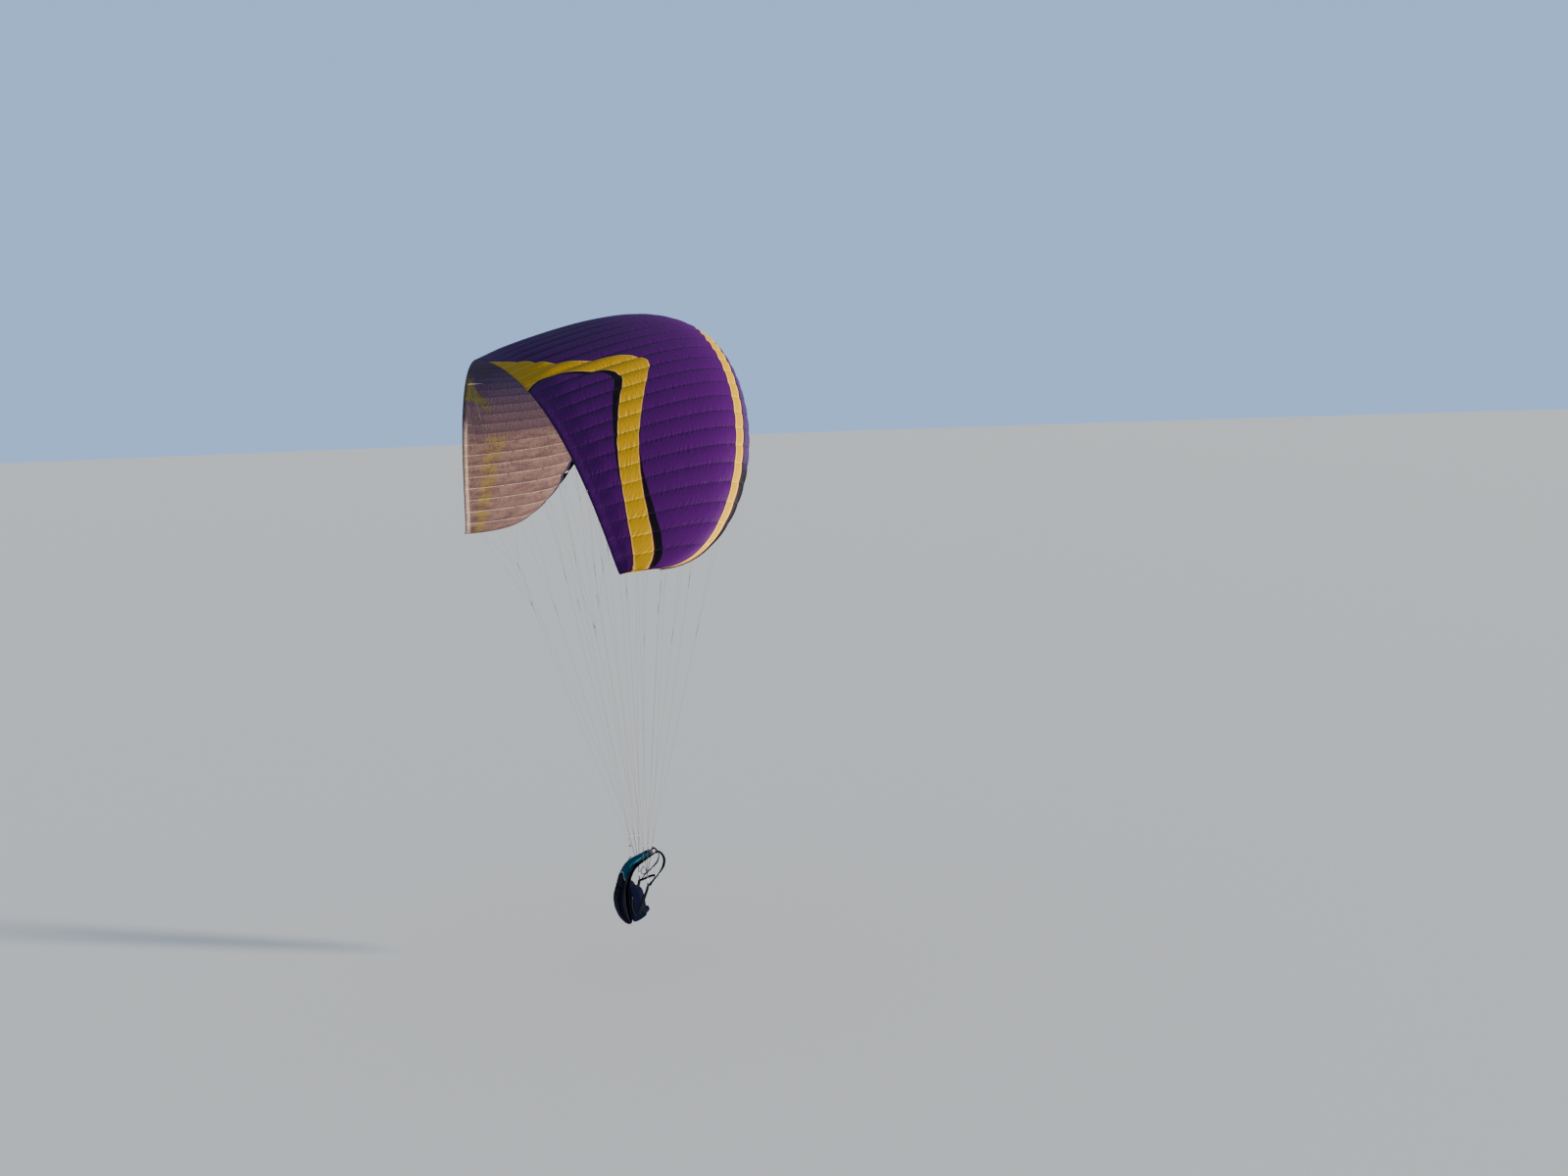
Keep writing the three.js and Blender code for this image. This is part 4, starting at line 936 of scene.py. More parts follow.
def pulley_place(side):
    """Where the pulley's strap leaves the rear web, and the pulley's middle."""
    hook = beside(side, CARABINER)
    on_web = hook + (riser_top(side, ROWS["c"][1]) - hook) * (1 - PULLEY_DROP / RISER_LENGTH)
    return on_web, on_web + [-PULLEY_BACK, side * PULLEY_OUT, 0]


def attachment(side, rib, share):
    chord, nose, back, up = rib_section(rib, side)
    height = float(height_at(np.array(-share), chord))
    return nose + back * share * chord + up * (height - LINE_INTO_CLOTH), up


def trailing_end(side, rib):
    chord, nose, back, up = rib_section(rib, side)
    return nose + back * chord * BRAKE_END - up * BRAKE_BELOW


def cascade(made, splices, side, foot, ends, share, top_share=1.0, fans=None):
    """A main line, its strands, and the short strands that each one parts into near the wing."""
    split = foot + (np.mean(ends, axis=0) - foot) * share
    along = unit(split - foot)
    across = np.array([0.0, side, 0.0])
    across = unit(across - along * across.dot(along))
    made.tube([foot, split], LINE_RADIUS, 6)
    splices.tube([split - along * 0.120, split - along * 0.105, split + along * 0.010],
                 [LINE_RADIUS * 1.4, LINE_RADIUS * 2.4, LINE_RADIUS * 2.8], 8)
    for i, end in enumerate(ends):
        start = split + across * STRAND_GAP * (i - (len(ends) - 1) / 2)
        made.tube([start, end], LINE_RADIUS * STRAND, 6)
        strand = unit(end - start)
        splices.tube([start + strand * 0.004, start + strand * 0.090],
                     [LINE_RADIUS * 2.2, LINE_RADIUS * 1.3], 6)
        for other in fans[i] if fans else ():
            root = start + (end - start) * top_share
            made.tube([root, other], LINE_RADIUS * SHORT_STRAND, 6)
            splices.tube([root - strand * 0.030, root + strand * 0.030], LINE_RADIUS * 1.5, 6)


LINE_FINISH = {"a": (line_red, "line_front"), "b": (line_orange, "line_middle"),
               "c": (line_sand, "line_rear")}

for label, side in SIDES:
    tabs, splices = [], Shape()
    for row, (chord_share, web_x) in ROWS.items():
        foot = line_foot(side, web_x)
        made = Shape().plate(foot, (INSERT_DEPTH, INSERT_WIDTH, INSERT_HEIGHT))
        for i, ribs in enumerate(MAIN_RIBS):
            ends = [attachment(side, rib, chord_share) for rib in ribs]
            fans = [[attachment(side, rib + step, chord_share) for step in ROW_FAN] for rib in ribs]
            tabs += ends + fans[0] + fans[1]
            start = foot + [0, side * LINE_PITCH * (i - 1), 0]
            cascade(made, splices, side, start, [p for p, _ in ends], MAIN_SPLIT, MAIN_TOP,
                    [[p for p, _ in fan] for fan in fans])
        finish, slot = LINE_FINISH[row]
        made.piece(f"rigging_{row}_{label}", finish, "wing", [f"lines_{row}_{label}"], slot)
    middle = line_foot(side, ROWS["b"][1])
    middle = middle + [0, side * (INSERT_WIDTH / 2 + FIT + TIP_INSERT_WIDTH / 2), 0]
    made = Shape().plate(middle, (INSERT_DEPTH, TIP_INSERT_WIDTH, INSERT_HEIGHT))
    ends = [attachment(side, rib, TIP_LINE_CHORD) for rib in TIP_RIBS]
    tabs += ends
    foot = middle + [0, -side * TIP_START_IN, -TIP_START_DOWN]
    cascade(made, splices, side, foot, [p for p, _ in ends], TIP_LINE_SPLIT)
    made.piece(f"rigging_tip_{label}", line_orange, "wing", [f"lines_tip_{label}"], "line_middle")

    foot = pulley_place(side)[1] + [0, 0, PULLEY_RADIUS + 0.0009]
    ends = [trailing_end(side, rib) for rib in BRAKE_RIBS]
    fans = [[trailing_end(side, rib + step) for step in BRAKE_FAN] for rib in BRAKE_RIBS]
    made = Shape()
    cascade(made, splices, side, foot, ends, BRAKE_SPLIT, BRAKE_TOP, fans)
    made.piece(f"rigging_brake_{label}", line_brake, "wing", [f"lines_brake_{label}"], "line_brake")
    made = Shape()
    for point, up in tabs:
        made.tube([point + up * 0.004, point - up * 0.010, point - up * 0.018], 0.0016, 6)
        made.plate(point + up * 0.002, (0.030, 0.004, 0.004))
    made.piece(f"line_tabs_{label}", tab_cloth, "wing", slot="riser_webbing")
    splices.piece(f"line_splices_{label}", splice_dark, "wing", slot="riser_webbing")


# Links, risers, pulleys and brake handles

CARABINER_HEIGHT, CARABINER_WIDTH, CARABINER_BAR, CARABINER_CORNER = 0.092, 0.054, 0.006, 0.014
RISER_WIDTH, RISER_THICK, RISER_PITCH = 0.020, 0.0024, 0.0038
BASE_HEIGHT, BASE_THICK = 0.062, 0.0102
HANDLE_TAIL, HANDLE_WIDTH, HANDLE_HEIGHT, HANDLE_STRAP, HANDLE_THICK = 0.150, 0.096, 0.118, 0.022, 0.012
# Half of the handle's loop: share of its half width, and how far down
HANDLE_LOOP = [(0, 0.010), (0.45, 0.030), (0.95, 0.072), (1.0, 0.096), (0.7, 0.112), (0, HANDLE_HEIGHT)]
WEB_FINISH = {"a": riser_red, "b": riser_grey, "c": riser_black}
X, Y, Z = np.eye(3)


def ring_path(centre, height, width, corner, steps=6):
    """A rounded rectangle in the plane of Y and Z."""
    path = []
    y, z = width / 2 - corner, height / 2 - corner
    for q, (sy, sz) in enumerate(((1, 1), (-1, 1), (-1, -1), (1, -1))):
        for k in range(steps + 1):
            turn = (q + k / steps) * math.pi / 2
            path.append(centre + [0, sy * y + corner * math.cos(turn), sz * z + corner * math.sin(turn)])
    return np.array(path)


def with_size(points, width, thick):
    """Stations of a strap, all of one width and thickness."""
    return [[*p, width, thick] for p in points]


def eye(made, centre, bar, thick, width):
    """A sewn eye of webbing round a bar along Y."""
    reach = bar + FIT + thick / 2
    round_bar = [centre + [reach * math.cos(t), 0, reach * math.sin(t)] for t in circle(20)]
    made.strap(with_size(round_bar, width, thick), Y, 0.004, closed=True)


def stitch_box(made, centre, along, wide, length, width, lift, stitches=7):
    """A boxed cross of thread on both faces of a strap."""
    along, wide = unit(along), unit(wide)
    thin = np.cross(along, wide)
    for face in (-1, 1):
        spot = centre + thin * lift * face
        corners = [spot + along * a * length / 2 + wide * b * width / 2
                   for a, b in ((-1, -1), (1, -1), (1, 1), (-1, 1))]
        for a, b in ((0, 1), (1, 2), (2, 3), (3, 0), (0, 2), (1, 3)):
            run = corners[b] - corners[a]
            for k in range(stitches):
                start, end = [corners[a] + run * (k + share) / stitches for share in (0.15, 0.85)]
                made.tube([start, end], 0.00035, 4)


def across_bar(made, centre, reach, radius, sides):
    """A round bar that reaches as far to both sides of its middle."""
    made.tube([centre - reach, centre + reach], radius, sides)


for label, side in SIDES:
    hook = beside(side, CARABINER)
    threads = Shape()
    for order, (row, (_, web_x)) in enumerate(ROWS.items(), -1):
        top = riser_top(side, web_x)
        made = Shape()
        start = hook + [-order * RISER_PITCH, 0, BASE_HEIGHT + FIT]
        end = top + [0, 0, -MAILLON_BAR - 0.0013]
        lead = Z * 0.014
        route = [start, start + lead] + [start + (end - start) * share for share in (0.25, 0.5, 0.75)]
        made.strap(with_size(route + [end - lead, end], RISER_WIDTH, RISER_THICK), Y)
        eye(made, top, MAILLON_BAR, RISER_THICK * 0.8, RISER_WIDTH - 0.006)
        made.strap([[*(end - lead * 1.6), RISER_WIDTH - 0.003, 0.0052],
                    [*(end - lead * 0.1), RISER_WIDTH - 0.004, 0.0050]], Y)
        made.piece(f"web_{row}_{label}", WEB_FINISH[row], "wing", [f"riser_{row}_{label}"], "riser_webbing")
        stitch_box(threads, end - lead * 0.85, Z, Y, 0.014, 0.011, 0.0028)
        middle = top + [0, 0, MAILLON_HEIGHT / 2]
        made = Shape()
        made.tube(ring_path(middle, MAILLON_HEIGHT, MAILLON_WIDTH, MAILLON_CORNER), MAILLON_BAR, 10, True)
        barrel = middle + [0, side * MAILLON_WIDTH / 2, 0]
        across_bar(made, barrel, Z * 0.0062, MAILLON_BAR * 1.75, 6)
        made.tube([barrel - Z * 0.0080, barrel - Z * 0.0066], MAILLON_BAR * 1.45, 10)
        made.piece(f"maillon_{row}_{label}", steel, "wing", [f"link_{row}_{label}"], "steel")
    made = Shape()
    eye(made, hook, CARABINER_BAR, RISER_THICK, RISER_WIDTH)
    base = [[*(hook + Z * (CARABINER_BAR + 0.0013)), RISER_WIDTH, 0.0085]]
    base += with_size([hook + Z * z for z in (0.022, 0.045, BASE_HEIGHT)], RISER_WIDTH, BASE_THICK)
    made.strap(base, Y)
    made.piece(f"web_base_{label}", riser_grey, "wing", [f"riser_base_{label}"], "riser_webbing")
    stitch_box(threads, hook + Z * 0.034, Z, Y, 0.036, 0.015, BASE_THICK / 2)
    threads.piece(f"riser_stitching_{label}", thread_white, "wing", slot="riser_webbing")

    on_web, centre = pulley_place(side)
    made = Shape()
    half = Y * (PULLEY_THICK / 2)
    for face in (-1, 1):
        rim = [centre + half * face * 0.62, centre + half * face]
        made.tube(rim, [PULLEY_RADIUS, PULLEY_RADIUS * 0.94], 28)
    across_bar(made, centre, half * 0.7, PULLEY_RADIUS * 0.74, 24)
    across_bar(made, centre, half * 1.25, 0.0022, 12)
    inner = on_web + [-RISER_THICK / 2 - 0.001, 0, 0]
    hanger = [[*inner, 0.010, 0.0022], [*((inner + centre) / 2), 0.009, 0.003], [*centre, 0.008, 0.004]]
    made.strap(hanger, Z)
    made.piece(f"brake_pulley_{label}", black_plastic, "wing", [f"pulley_{label}"], "pulley_plastic")

    grip_top = centre + [0, 0, -PULLEY_RADIUS - HANDLE_TAIL]
    half = HANDLE_WIDTH / 2 - HANDLE_THICK / 2
    outline = HANDLE_LOOP + [(-x, down) for x, down in HANDLE_LOOP[-2:0:-1]]
    rows = [[*(grip_top + [x * half, 0, -down]), HANDLE_STRAP, HANDLE_THICK * (0.75 if down > 0.07 else 0.38)]
            for x, down in outline]
    made = Shape().strap(rows, Y, 0.005, closed=True, edge=0.8)
    made.piece(f"handle_grip_{label}", handle_cloth, f"brake_{label}", [f"brake_handle_{label}"],
               "handle_webbing")
    made = Shape().tube([grip_top + Z * 0.0004, grip_top - Z * 0.018], [0.0062, 0.0050], 16)
    made.plate(grip_top - Z * 0.012, (0.012, 0.014, 0.012))
    made.piece(f"handle_swivel_{label}", black_plastic, f"brake_{label}", slot="pulley_plastic")
    tail_top, tail_end = centre - Z * (PULLEY_RADIUS + FIT), grip_top + Z * FIT
    steps = np.linspace(0, 1, 25)[:, None]
    made = Shape().tube(tail_top + (tail_end - tail_top) * steps, LINE_RADIUS * 1.3, 8)
    cord = made.mesh(f"brake_cord_{label}", line_brake)
    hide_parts(f"brake_tail_{label}")
    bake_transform(cord)

# Harness: its points are given from the level of the hang points, forward, sideways and up

BACK_LINE = np.array([(160, -138), (8, -208), (-162, -306), (-254, -462), (-290, -616), (-304, -784),
                      (-290, -900), (-258, -1015), (-214, -1118)]) / 1000
# Place on the back line, width, thickness
BACK_PANEL = np.array([(0, 0.230, 0.022), (1, 0.290, 0.026), (2, 0.330, 0.028), (3, 0.356, 0.028),
                       (4, 0.376, 0.028), (5, 0.376, 0.028)])
SEAT = np.array([(5, 0.376, 0.030), (6, 0.376, 0.034), (7, 0.376, 0.036), (8, 0.366, 0.030)])
REAR_POCKET = np.array([(0, 0.210, 0.020), (1, 0.280, 0.036), (2, 0.320, 0.054), (3, 0.340, 0.078),
                        (4, 0.350, 0.092)])
BACK_PROTECTOR = np.array([(4, 0.350, 0.100), (5, 0.376, 0.128), (6, 0.376, 0.132), (7, 0.376, 0.122),
                           (8, 0.350, 0.092)])
PAD_GAP = FIT
EDGE_ROUND, FACE_ROUND = 0.45, 0.66
PAD_ROWS = PAD_SIDES = 60
SWELL_STEPS, SWELL_VOXEL, SWELL_PRESSURE = 20, 0.007, 4.0


def hang(x, y, z):
    return np.array([HANG_FORWARD + x, y, z - HANG_DROP])


def curve_at(rows, places):
    """Points of a smooth curve through rows at places counted in rows."""
    places = np.clip(np.asarray(places, dtype=float), 0, len(rows) - 1)
    i = np.minimum(places.astype(int), len(rows) - 2)
    around = [rows[np.clip(i + k, 0, len(rows) - 1)] for k in (-1, 0, 1, 2)]
    return spline(*around, (places - i)[:, None])


def back_line(places):
    """Points, along and forward directions on the back line."""
    flat = curve_at(BACK_LINE, places)
    along = units(curve_at(BACK_LINE, places + 0.01) - curve_at(BACK_LINE, places - 0.01))
    zero = 0 * places
    points = np.stack([HANG_FORWARD + flat[:, 0], zero, flat[:, 1] - HANG_DROP], axis=1)
    return (points, np.stack([along[:, 0], zero, along[:, 1]], axis=1),
            np.stack([-along[:, 1], zero, along[:, 0]], axis=1))


FINE_PLACES = np.linspace(0, len(BACK_LINE) - 1, 500)
FINE_LINE, _, FINE_AHEAD = back_line(FINE_PLACES)


def pad_sections(rows, facing, places):
    """Middle points, half widths, half thicknesses and forward directions of a cushion."""
    width, thick = [np.interp(places, rows[:, 0], rows[:, k]) for k in (1, 2)]
    points, _, forward = back_line(places)
    return points + forward * (facing * (PAD_GAP + thick) / 2)[:, None], width / 2, thick / 2, forward


def on_pad(made, rows, places, across, lift=0.0):
    """Points this far off the rear face of a cushion, at shares of its half width."""
    places, across = np.broadcast_arrays(np.asarray(places, dtype=float), np.asarray(across, dtype=float))
    middle, width, half, forward = pad_sections(rows, -1, places)
    cos = np.abs(across) ** (1 / EDGE_ROUND)
    depth = half * np.sqrt(np.maximum(0, 1 - cos ** 2)) ** FACE_ROUND
    points = middle - forward * depth[:, None]
    points[:, 1] += width * across
    near = [made.closest_point_on_mesh(Vector(point)) for point in points]
    return np.array([spot + normal * lift for _, spot, normal, _ in near])


def coordinates(mesh):
    flat = np.empty(3 * len(mesh.vertices), dtype=np.float32)
    mesh.vertices.foreach_get("co", flat)
    return flat.reshape(-1, 3).astype(float)


def move_to(mesh, points):
    mesh.vertices.foreach_set("co", points.astype(np.float32).ravel())


def baked(made):
    """The mesh as its modifiers leave it."""
    return bpy.data.meshes.new_from_object(made.evaluated_get(bpy.context.evaluated_depsgraph_get()))


def swap_mesh(made, mesh):
    made.modifiers.clear()
    old = made.data
    made.data = mesh
    bpy.data.meshes.remove(old)


def swell(made, cap):
    """Blows a shell up as stuffed cloth, with a limit on how far a point moves."""
    remesh = made.modifiers.new("remesh", "REMESH")
    remesh.mode, remesh.voxel_size = "VOXEL", SWELL_VOXEL
    swap_mesh(made, baked(made))
    start = coordinates(made.data)
    cloth = made.modifiers.new("cloth", "CLOTH")
    cloth.settings.quality = 4
    cloth.settings.mass = 0.25
    cloth.settings.tension_stiffness = cloth.settings.compression_stiffness = 25
    cloth.settings.bending_stiffness = 0.6
    cloth.settings.use_pressure = True
    cloth.settings.uniform_pressure_force = SWELL_PRESSURE
    cloth.settings.effector_weights.gravity = 0
    cloth.collision_settings.use_collision = False
    cloth.point_cache.frame_start, cloth.point_cache.frame_end = 1, SWELL_STEPS
    for step in range(1, SWELL_STEPS + 1):
        scene.frame_set(step)
    moved = baked(made)
    shift = coordinates(moved) - start
    shift *= np.minimum(1, cap / np.maximum(np.linalg.norm(shift, axis=1)[:, None], TINY))
    move_to(moved, start + shift)
    swap_mesh(made, moved)
    scene.frame_set(1)


def pad(name, rows, facing, material, node, slot, fill, quilting=None, inset=0.003, cap=0.008,
        end_round=0.018, side_inset=0.003):
    """A padded cushion along the back line, with rounded ends and sewn channels."""
    places = np.linspace(rows[0, 0], rows[-1, 0], PAD_ROWS)
    middle, width, half, forward = pad_sections(rows, facing, places)
    along = lengths(middle)
    ends = np.minimum(along - along[0], along[-1] - along)
    squeeze = np.sqrt(np.clip(1 - (1 - np.clip(ends / end_round, 0, 1)) ** 2, 0.3, 1))
    rings = []
    for turn in circle(PAD_SIDES):
        cos, sin = math.cos(turn), math.sin(turn)
        u = (width - side_inset) * (0.94 + 0.06 * squeeze) * math.copysign(abs(cos) ** EDGE_ROUND, cos)
        v = (half - inset) * squeeze * math.copysign(abs(sin) ** FACE_ROUND, sin)
        rings.append(middle + u[:, None] * Y + forward * v[:, None])
    faces = sweep_faces(PAD_ROWS, PAD_SIDES)
    made = outward(mesh_object(name, np.stack(rings, axis=1).reshape(-1, 3), faces, material))
    swell(made, cap)
    points = coordinates(made.data)
    gaps = (points[:, 0, None] - FINE_LINE[:, 0]) ** 2 + (points[:, 2, None] - FINE_LINE[:, 2]) ** 2
    near = np.argmin(gaps, axis=1)
    off = np.sum((points - FINE_LINE[near]) * FINE_AHEAD[near], axis=1) * facing
    reach, across, spots = lengths(FINE_LINE)[near], points[:, 1], FINE_PLACES[near]
    if quilting:
        dent = np.exp(-((np.mod(reach, quilting) - quilting / 2) / 0.005) ** 2) * 0.004
        off = np.where(off > 0.012, off - dent, off)
    off = np.maximum(off, PAD_GAP)
    move_to(made.data, FINE_LINE[near] + FINE_AHEAD[near] * (facing * off)[:, None] + across[:, None] * Y)
    width, thick = [np.interp(spots, rows[:, 0], rows[:, k]) for k in (1, 2)]
    rim = np.where(off < thick / 2, 1.0, np.abs(across) / width * 2)
    add_fields(made.data, {"along": reach, "across": across, "rim": rim})
    soften(made.data)
    made.data.update()
    smooth = made.modifiers.new("smooth", "SUBSURF")
    smooth.levels = smooth.render_levels = 1
    return placed(made, "harness", [node])


def seam_cord(made, cushion, rows, places, across, radius=0.0024):
    """Piping or a raised seam along a cushion's rear face."""
    made.tube(smooth_path(on_pad(cushion, rows, places, across, radius * 0.4), 0.006), radius, 8)


def teeth_on(made, run, sideways):
    """Teeth of a zip, in turn a little to each side of its run."""
    for k, (point, wide) in enumerate(zip(run, sideways)):
        across_bar(made, point + wide * (0.0016 if k % 2 else -0.0016), wide * 0.0015, 0.0012, 5)


def zip_on(tapes, teeth, cushion, rows, place, reach, wide_axis):
    """A zip across a cushion: tape, a row of teeth, and a slider with its pull."""
    across = np.linspace(-reach, reach, 26)
    tapes.strap(with_size(on_pad(cushion, rows, place, across, 0.0010), 0.026, 0.0018), wide_axis)
    run = smooth_path(on_pad(cushion, rows, place, across, 0.0024), 0.004)
    teeth_on(teeth, run, frames(run, wide_axis)[1])
    teeth.plate(run[-3], (0.010, 0.009, 0.006))
    hanging = on_pad(cushion, rows, [place, place + 0.12, place + 0.22], across[-2], 0.0035)
    teeth.strap(with_size(hanging, 0.006, 0.0018), Y)


pocket = pad("pocket_shell", REAR_POCKET, -1, pocket_cloth, "rear_pocket", "harness_teal", 0.6)
protector = pad("protector_shell", BACK_PROTECTOR, -1, pocket_cloth, "back_protector", "harness_navy", 0.8)
thinner = {"inset": 0.002, "cap": 0.005, "end_round": 0.012, "side_inset": 0.0}
pad("back_cushion", BACK_PANEL, 1, black_padding, "back_panel", "harness_padding", 0.5, 0.082, **thinner)
pad("seat_cushion", SEAT, 1, black_padding, "seat", "harness_navy", 0.6, 0.07, **thinner)

joints = Shape()
for rows, facing, place, deep in ((BACK_PANEL, 1, 5.0, 0.024), (REAR_POCKET, -1, 4.0, 0.080)):
    middle, width, _, _ = pad_sections(rows, facing, np.array([place]))
    _, along, _ = back_line(np.array([place]))
    ends = [middle[0] + Y * width[0] * edge * 0.94 for edge in (-1, 0, 1)]
    joints.strap(with_size(ends, 0.034, deep), along[0], 0.02, edge=0.3)
joints.piece("cushion_joints", black_padding, "harness", slot="harness_padding")

piping = Shape()
for edge in (-1, 1):
    seam_cord(piping, pocket, REAR_POCKET, np.linspace(0.15, 3.85, 40), edge * 0.9)
    seam_cord(piping, protector, BACK_PROTECTOR, np.linspace(4.15, 7.85, 40), edge * 0.9)
    seam_cord(piping, protector, BACK_PROTECTOR, np.linspace(4.35, 7.6, 30), edge * 0.45, 0.0016)
for cushion, rows, seams in ((protector, BACK_PROTECTOR, (4.3, 7.6)), (pocket, REAR_POCKET, (3.7,))):
    for place in seams:
        seam_cord(piping, cushion, rows, place, np.linspace(-0.88, 0.88, 30))
piping.piece("shell_piping", piping_cloth, "harness", slot="harness_webbing")
tapes, teeth = Shape(), Shape()
zip_on(tapes, teeth, pocket, REAR_POCKET, 0.55, 0.72, (0.85, 0, 0.5))
zip_on(tapes, teeth, protector, BACK_PROTECTOR, 4.62, 0.8, (0.1, 0, 1))
tapes.piece("zip_tape", harness_web, "harness", slot="harness_webbing")
teeth.piece("zip_teeth", black_plastic, "harness", slot="harness_webbing")

SHOULDER_STRAP = np.array([(206, 104, -120), (262, 114, -165), (292, 128, -250), (262, 150, -350),
                           (180, 180, -440), (84, 204, -525), (36, 209, -590)]) / 1000
MAIN_WEBBING = np.array([(0, 209, -600), (-10, 203, -640), (-24, 198.1, -684), (-40, 198.1, -720),
                         (-96, 198.1, -860), (-150, 198.1, -990)]) / 1000
CHEST_STRAP = np.array([(-1, 199.7, -592), (-1, 179.7, -592), (30, 164, -586), (90, 132, -556),
                        (152, 70, -520), (176, 0, -508)]) / 1000
SIDE_PANEL = np.array([(-258, -540), (-110, -600), (-62, -720), (-42, -860), (-30, -960), (-52, -1036),
                       (-210, -1100), (-262, -1010), (-282, -840), (-284, -660)]) / 1000
SIDE_PANEL_MIDDLE, SIDE_PANEL_THICK = 0.1923, 0.008
SIDE_SEAM = np.array([(-275, -700), (-190, -640), (-110, -606)]) / 1000
SIDE_ZIP = np.array([(-238, -730), (-246, -830), (-236, -930), (-206, -1020)]) / 1000
# Width and thickness of each kind of strap
WIDE_STRAP, NARROW_STRAP, THIN_STRAP = (0.062, 0.012), (0.034, 0.006), (0.034, 0.003)
OVER_STRAP, MAIN_STRAP = (0.025, 0.0024), (0.044, 0.003)
LOOP_PADDING, LOOP_WEBBING = (0.054, 0.010), (0.025, 0.0022)
SHOULDER_LEAN = (0.3, 0.2)
LOOP_STEPS, LOOP_RADIUS, LOOP_ACROSS, LOOP_TILT, LOOP_AT = 28, 0.104, 0.088, 0.42, (-0.064, -0.984)


def buckle(made, centre, along, wide, width, bars=4):
    """A ladder buckle of bent bar: two sides and its cross bars."""
    along, wide = unit(along), unit(wide) * (width / 2 + 0.002)
    for k in range(bars):
        across_bar(made, centre + along * 0.012 * (k - (bars - 1) / 2), wide, 0.0017, 8)
    for edge in (-1, 1):
        across_bar(made, centre + wide * edge, along * (0.006 * (bars - 1) + 0.001), 0.0019, 8)


def shoulder(side, label):
    lean = (SHOULDER_LEAN[0], side, SHOULDER_LEAN[1])
    points, along, forward = back_line(np.array([0.0]))
    start = points[0] + forward[0] * 0.0112 - along[0] * 0.00015
    start[1] = 0.095
    stations = [[*beside(side, start), *WIDE_STRAP]]
    for i, point in enumerate(SHOULDER_STRAP):
        stations.append([*beside(side, hang(*point)), *(WIDE_STRAP if i < 4 else NARROW_STRAP)])
    stations.append([*beside(side, hang(0.0053, 0.210, -0.592)), *NARROW_STRAP])
    made = Shape().strap(stations, lean, 0.008, edge=0.9)
    made.piece(f"shoulder_pad_{label}", black_padding, "harness", [f"shoulder_strap_{label}"],
               "harness_padding", 0.5)
    middle = smooth_path([row[:3] for row in stations], 0.02)[2:-6]
    over = middle + frames(middle, lean)[2] * side * 0.0068
    made = Shape().strap(with_size(over, *OVER_STRAP), lean)
    made.piece(f"shoulder_webbing_{label}", harness_web, "harness", slot="harness_webbing")
    at, along = beside(side, hang(*SHOULDER_STRAP[4])), beside(side, SHOULDER_STRAP[5] - SHOULDER_STRAP[3])
    _, wide, thin = frames(np.array([at, at + along]), lean)
    made = Shape()
    buckle(made, at + thin[0] * side * 0.006, along, wide[0], 0.034)
    made.piece(f"shoulder_buckle_{label}", steel, "harness", slot="carabiner_metal")


def main_strap(side, label):
    made = Shape()
    eye(made, beside(side, CARABINER) - Z * CARABINER_HEIGHT, CARABINER_BAR, 0.003, 0.020)
    neck = [beside(side, hang(0, 0.210, -z)) for z in (0.570, 0.592, 0.614)]
    made.strap(with_size(neck, 0.020, 0.010), Y, 0.005)
    made.strap(with_size([beside(side, hang(*point)) for point in MAIN_WEBBING], *MAIN_STRAP), (1, 0, 0.4))
    made.piece(f"main_strap_{label}", harness_web, "harness", [f"main_webbing_{label}"], "harness_webbing")


def side_panel(side, label):
    outline = smooth_path(SIDE_PANEL, 0.012, closed=True)
    work = filled([outline])
    inner = [e for e in work.edges if not e.is_boundary]
    bmesh.ops.subdivide_edges(work, edges=inner, cuts=2, use_grid_fill=True)
    flat, faces = taken_from(work)
    x, z = flat[:, 0], flat[:, 1]
    made = Shape().put([hang(a, side * SIDE_PANEL_MIDDLE, b) for a, b in zip(x, z)], faces, z, x)
    panel = made.mesh(f"side_cloth_{label}", navy_cloth)
    thicken(panel, "padding", SIDE_PANEL_THICK * 0.8)
    placed(panel, "harness", [f"side_panel_{label}"])
    made = Shape()
    made.tube([hang(a, side * SIDE_PANEL_MIDDLE, b) for a, b in outline], 0.0045, 8, closed=True)
    face = SIDE_PANEL_MIDDLE + SIDE_PANEL_THICK * 0.4
    made.tube([beside(side, hang(a, face, b)) for a, b in SIDE_SEAM], 0.0018, 6, spacing=0.008)
    made.piece(f"side_piping_{label}", piping_cloth, "harness", slot="harness_webbing")
    route = np.array([beside(side, hang(a, face + 0.0006, b)) for a, b in SIDE_ZIP])
    made = Shape().strap(with_size(route, 0.024, 0.0016), X, 0.008)
    made.piece(f"side_zip_{label}", harness_web, "harness", slot="harness_webbing")
    made = Shape()
    run = smooth_path(route + Y * side * 0.0010, 0.005)
    teeth_on(made, run, np.tile(X, (len(run), 1)))
    made.plate(run[2], (0.009, 0.006, 0.010))
    pull = [run[2] + [0, side * 0.003, -z] for z in (0.002, 0.014, 0.030)]
    made.strap(with_size(pull, 0.006, 0.0016), X)
    made.piece(f"side_zip_teeth_{label}", black_plastic, "harness", slot="harness_webbing")
    before, end = [beside(side, hang(*point)) for point in MAIN_WEBBING[-2:]]
    down = unit(end - before)
    made = Shape()
    stitch_box(made, end - down * 0.030, down, np.cross(down, Y), 0.046, 0.034, 0.0016)
    made.piece(f"strap_stitching_{label}", thread_dark, "harness", slot="harness_webbing")


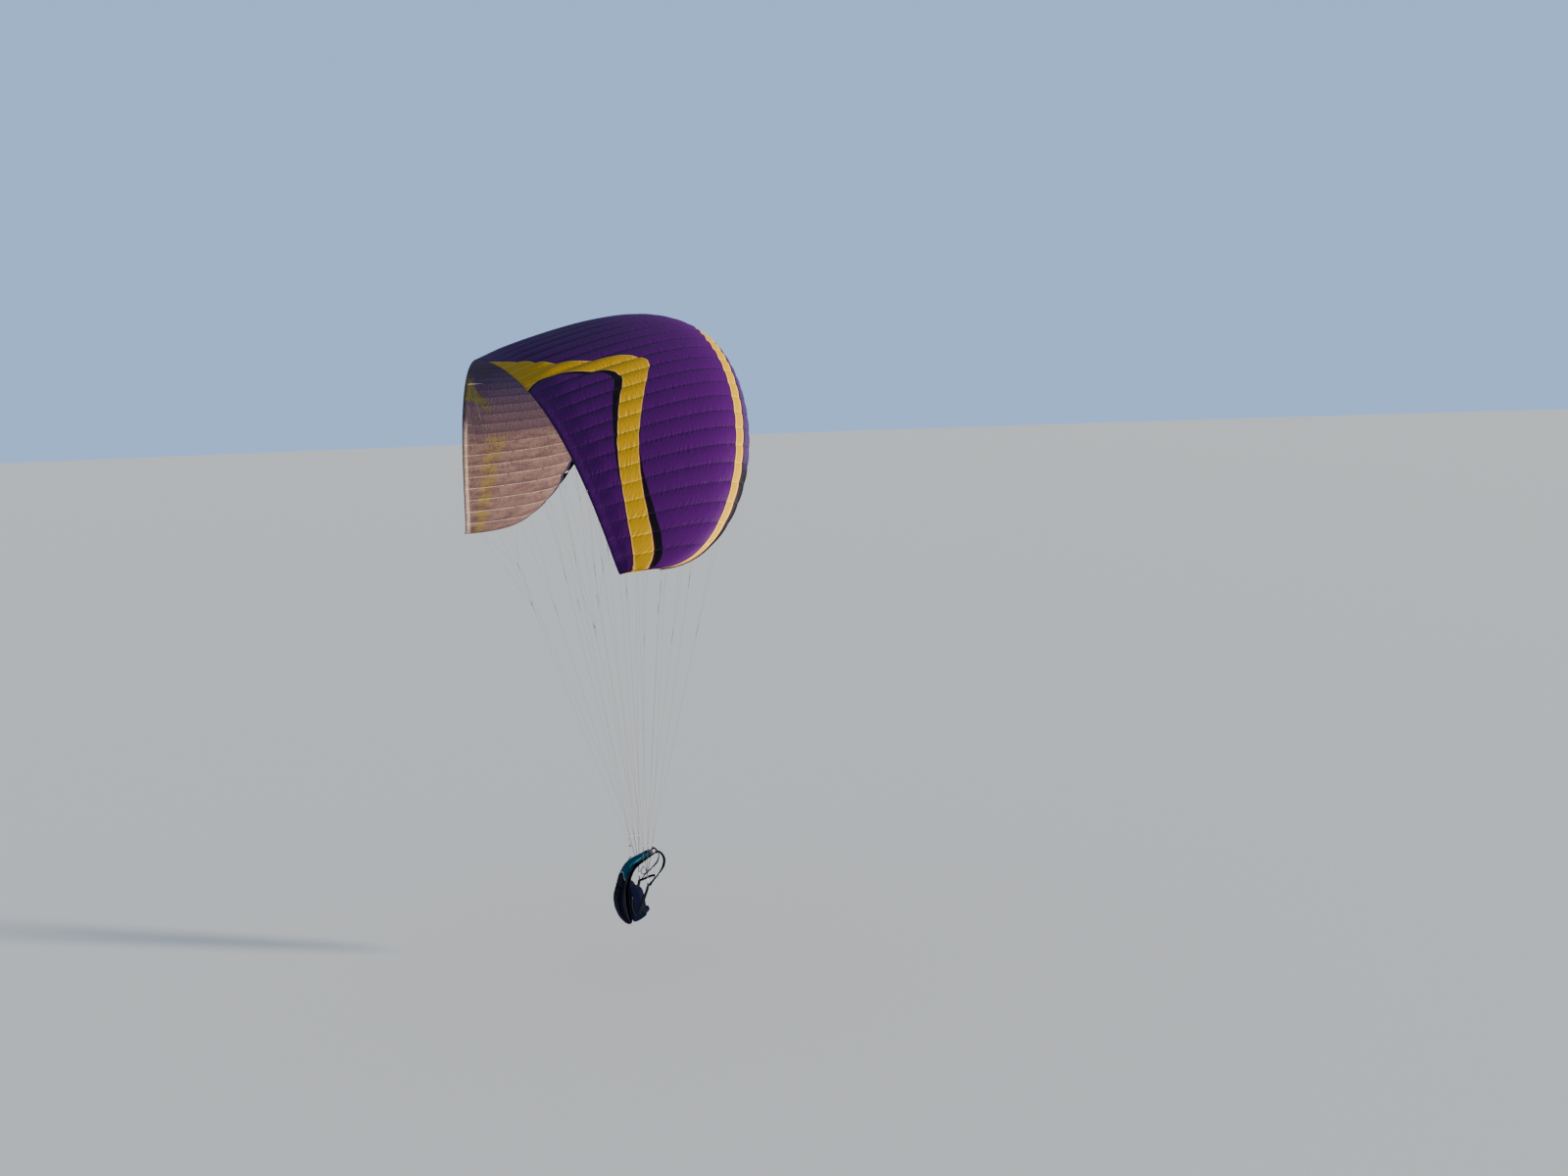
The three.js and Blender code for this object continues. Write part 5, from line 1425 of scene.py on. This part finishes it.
def leg_loop(side, label):
    low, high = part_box(f"leg_loop_{label}")
    ahead = np.array([math.cos(LOOP_TILT), 0, math.sin(LOOP_TILT)])
    lean = np.array([-math.sin(LOOP_TILT), 0, math.cos(LOOP_TILT)])
    middle = hang(LOOP_AT[0], (float(low[1]) + float(high[1])) / 2, LOOP_AT[1])
    ring = np.array([middle + ahead * LOOP_RADIUS * math.cos(turn) + Y * LOOP_ACROSS * math.sin(turn)
                     for turn in circle(LOOP_STEPS)])
    made = Shape().strap(with_size(ring, *LOOP_PADDING), lean, 0.008, closed=True, edge=0.9)
    made.piece(f"leg_pad_{label}", black_padding, "harness", [f"leg_loop_{label}"], "harness_padding", 0.5)
    centre = np.mean(ring, axis=0)
    front = np.concatenate([ring[-9:], ring[:10]])
    made = Shape().strap(with_size(front + units(front - centre) * 0.0066, *LOOP_WEBBING), lean)
    made.piece(f"leg_webbing_{label}", harness_web, "harness", slot="harness_webbing")
    made = Shape()
    buckle(made, ring[0] + ahead * 0.0095, Y, lean, 0.027)
    made.piece(f"leg_buckle_{label}", steel, "harness", slot="carabiner_metal")


def carabiner(side, label):
    centre = beside(side, CARABINER) - Z * CARABINER_HEIGHT / 2
    ring = ring_path(centre, CARABINER_HEIGHT, CARABINER_WIDTH, CARABINER_CORNER, 8)
    made = Shape().tube(ring, CARABINER_BAR, 16, closed=True)
    gate = centre - Y * side * CARABINER_WIDTH / 2
    radii = [CARABINER_BAR * share for share in (1.05, 1.22, 1.22, 1.05)]
    made.tube([gate + Z * z for z in (-0.020, -0.018, 0.018, 0.020)], radii, 16)
    across_bar(made, gate - Z * 0.026, X * 0.0085, 0.0022, 10)
    made.piece(f"hook_{label}", alloy, "harness", [f"carabiner_{label}"], "carabiner_metal")


for label, side in SIDES:
    for build in (shoulder, main_strap, side_panel, leg_loop, carabiner):
        build(side, label)

half = [hang(*point) for point in CHEST_STRAP]
made = Shape().strap(with_size(half + [p * [1, -1, 1] for p in half[-2::-1]], *THIN_STRAP), (0.2, 0, 1))
made.piece("chest_band", harness_web, "harness", ["chest_strap"], "harness_webbing")
made = Shape()
buckle(made, half[-1], Y, (0.2, 0, 1), 0.036)
made.piece("chest_buckle", steel, "harness", slot="carabiner_metal")

# Floor, a plain pale disc far wider than the object

bpy.ops.mesh.primitive_circle_add(vertices=128, radius=400, fill_type="NGON", location=(0, 0, FLOOR_Z))
floor = bpy.context.object
floor.name = "studio_floor"
floor.data.materials.append(Nodes("pale_floor").finish(rgb(226, 226, 224), 0.9))
floor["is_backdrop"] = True

low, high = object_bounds()
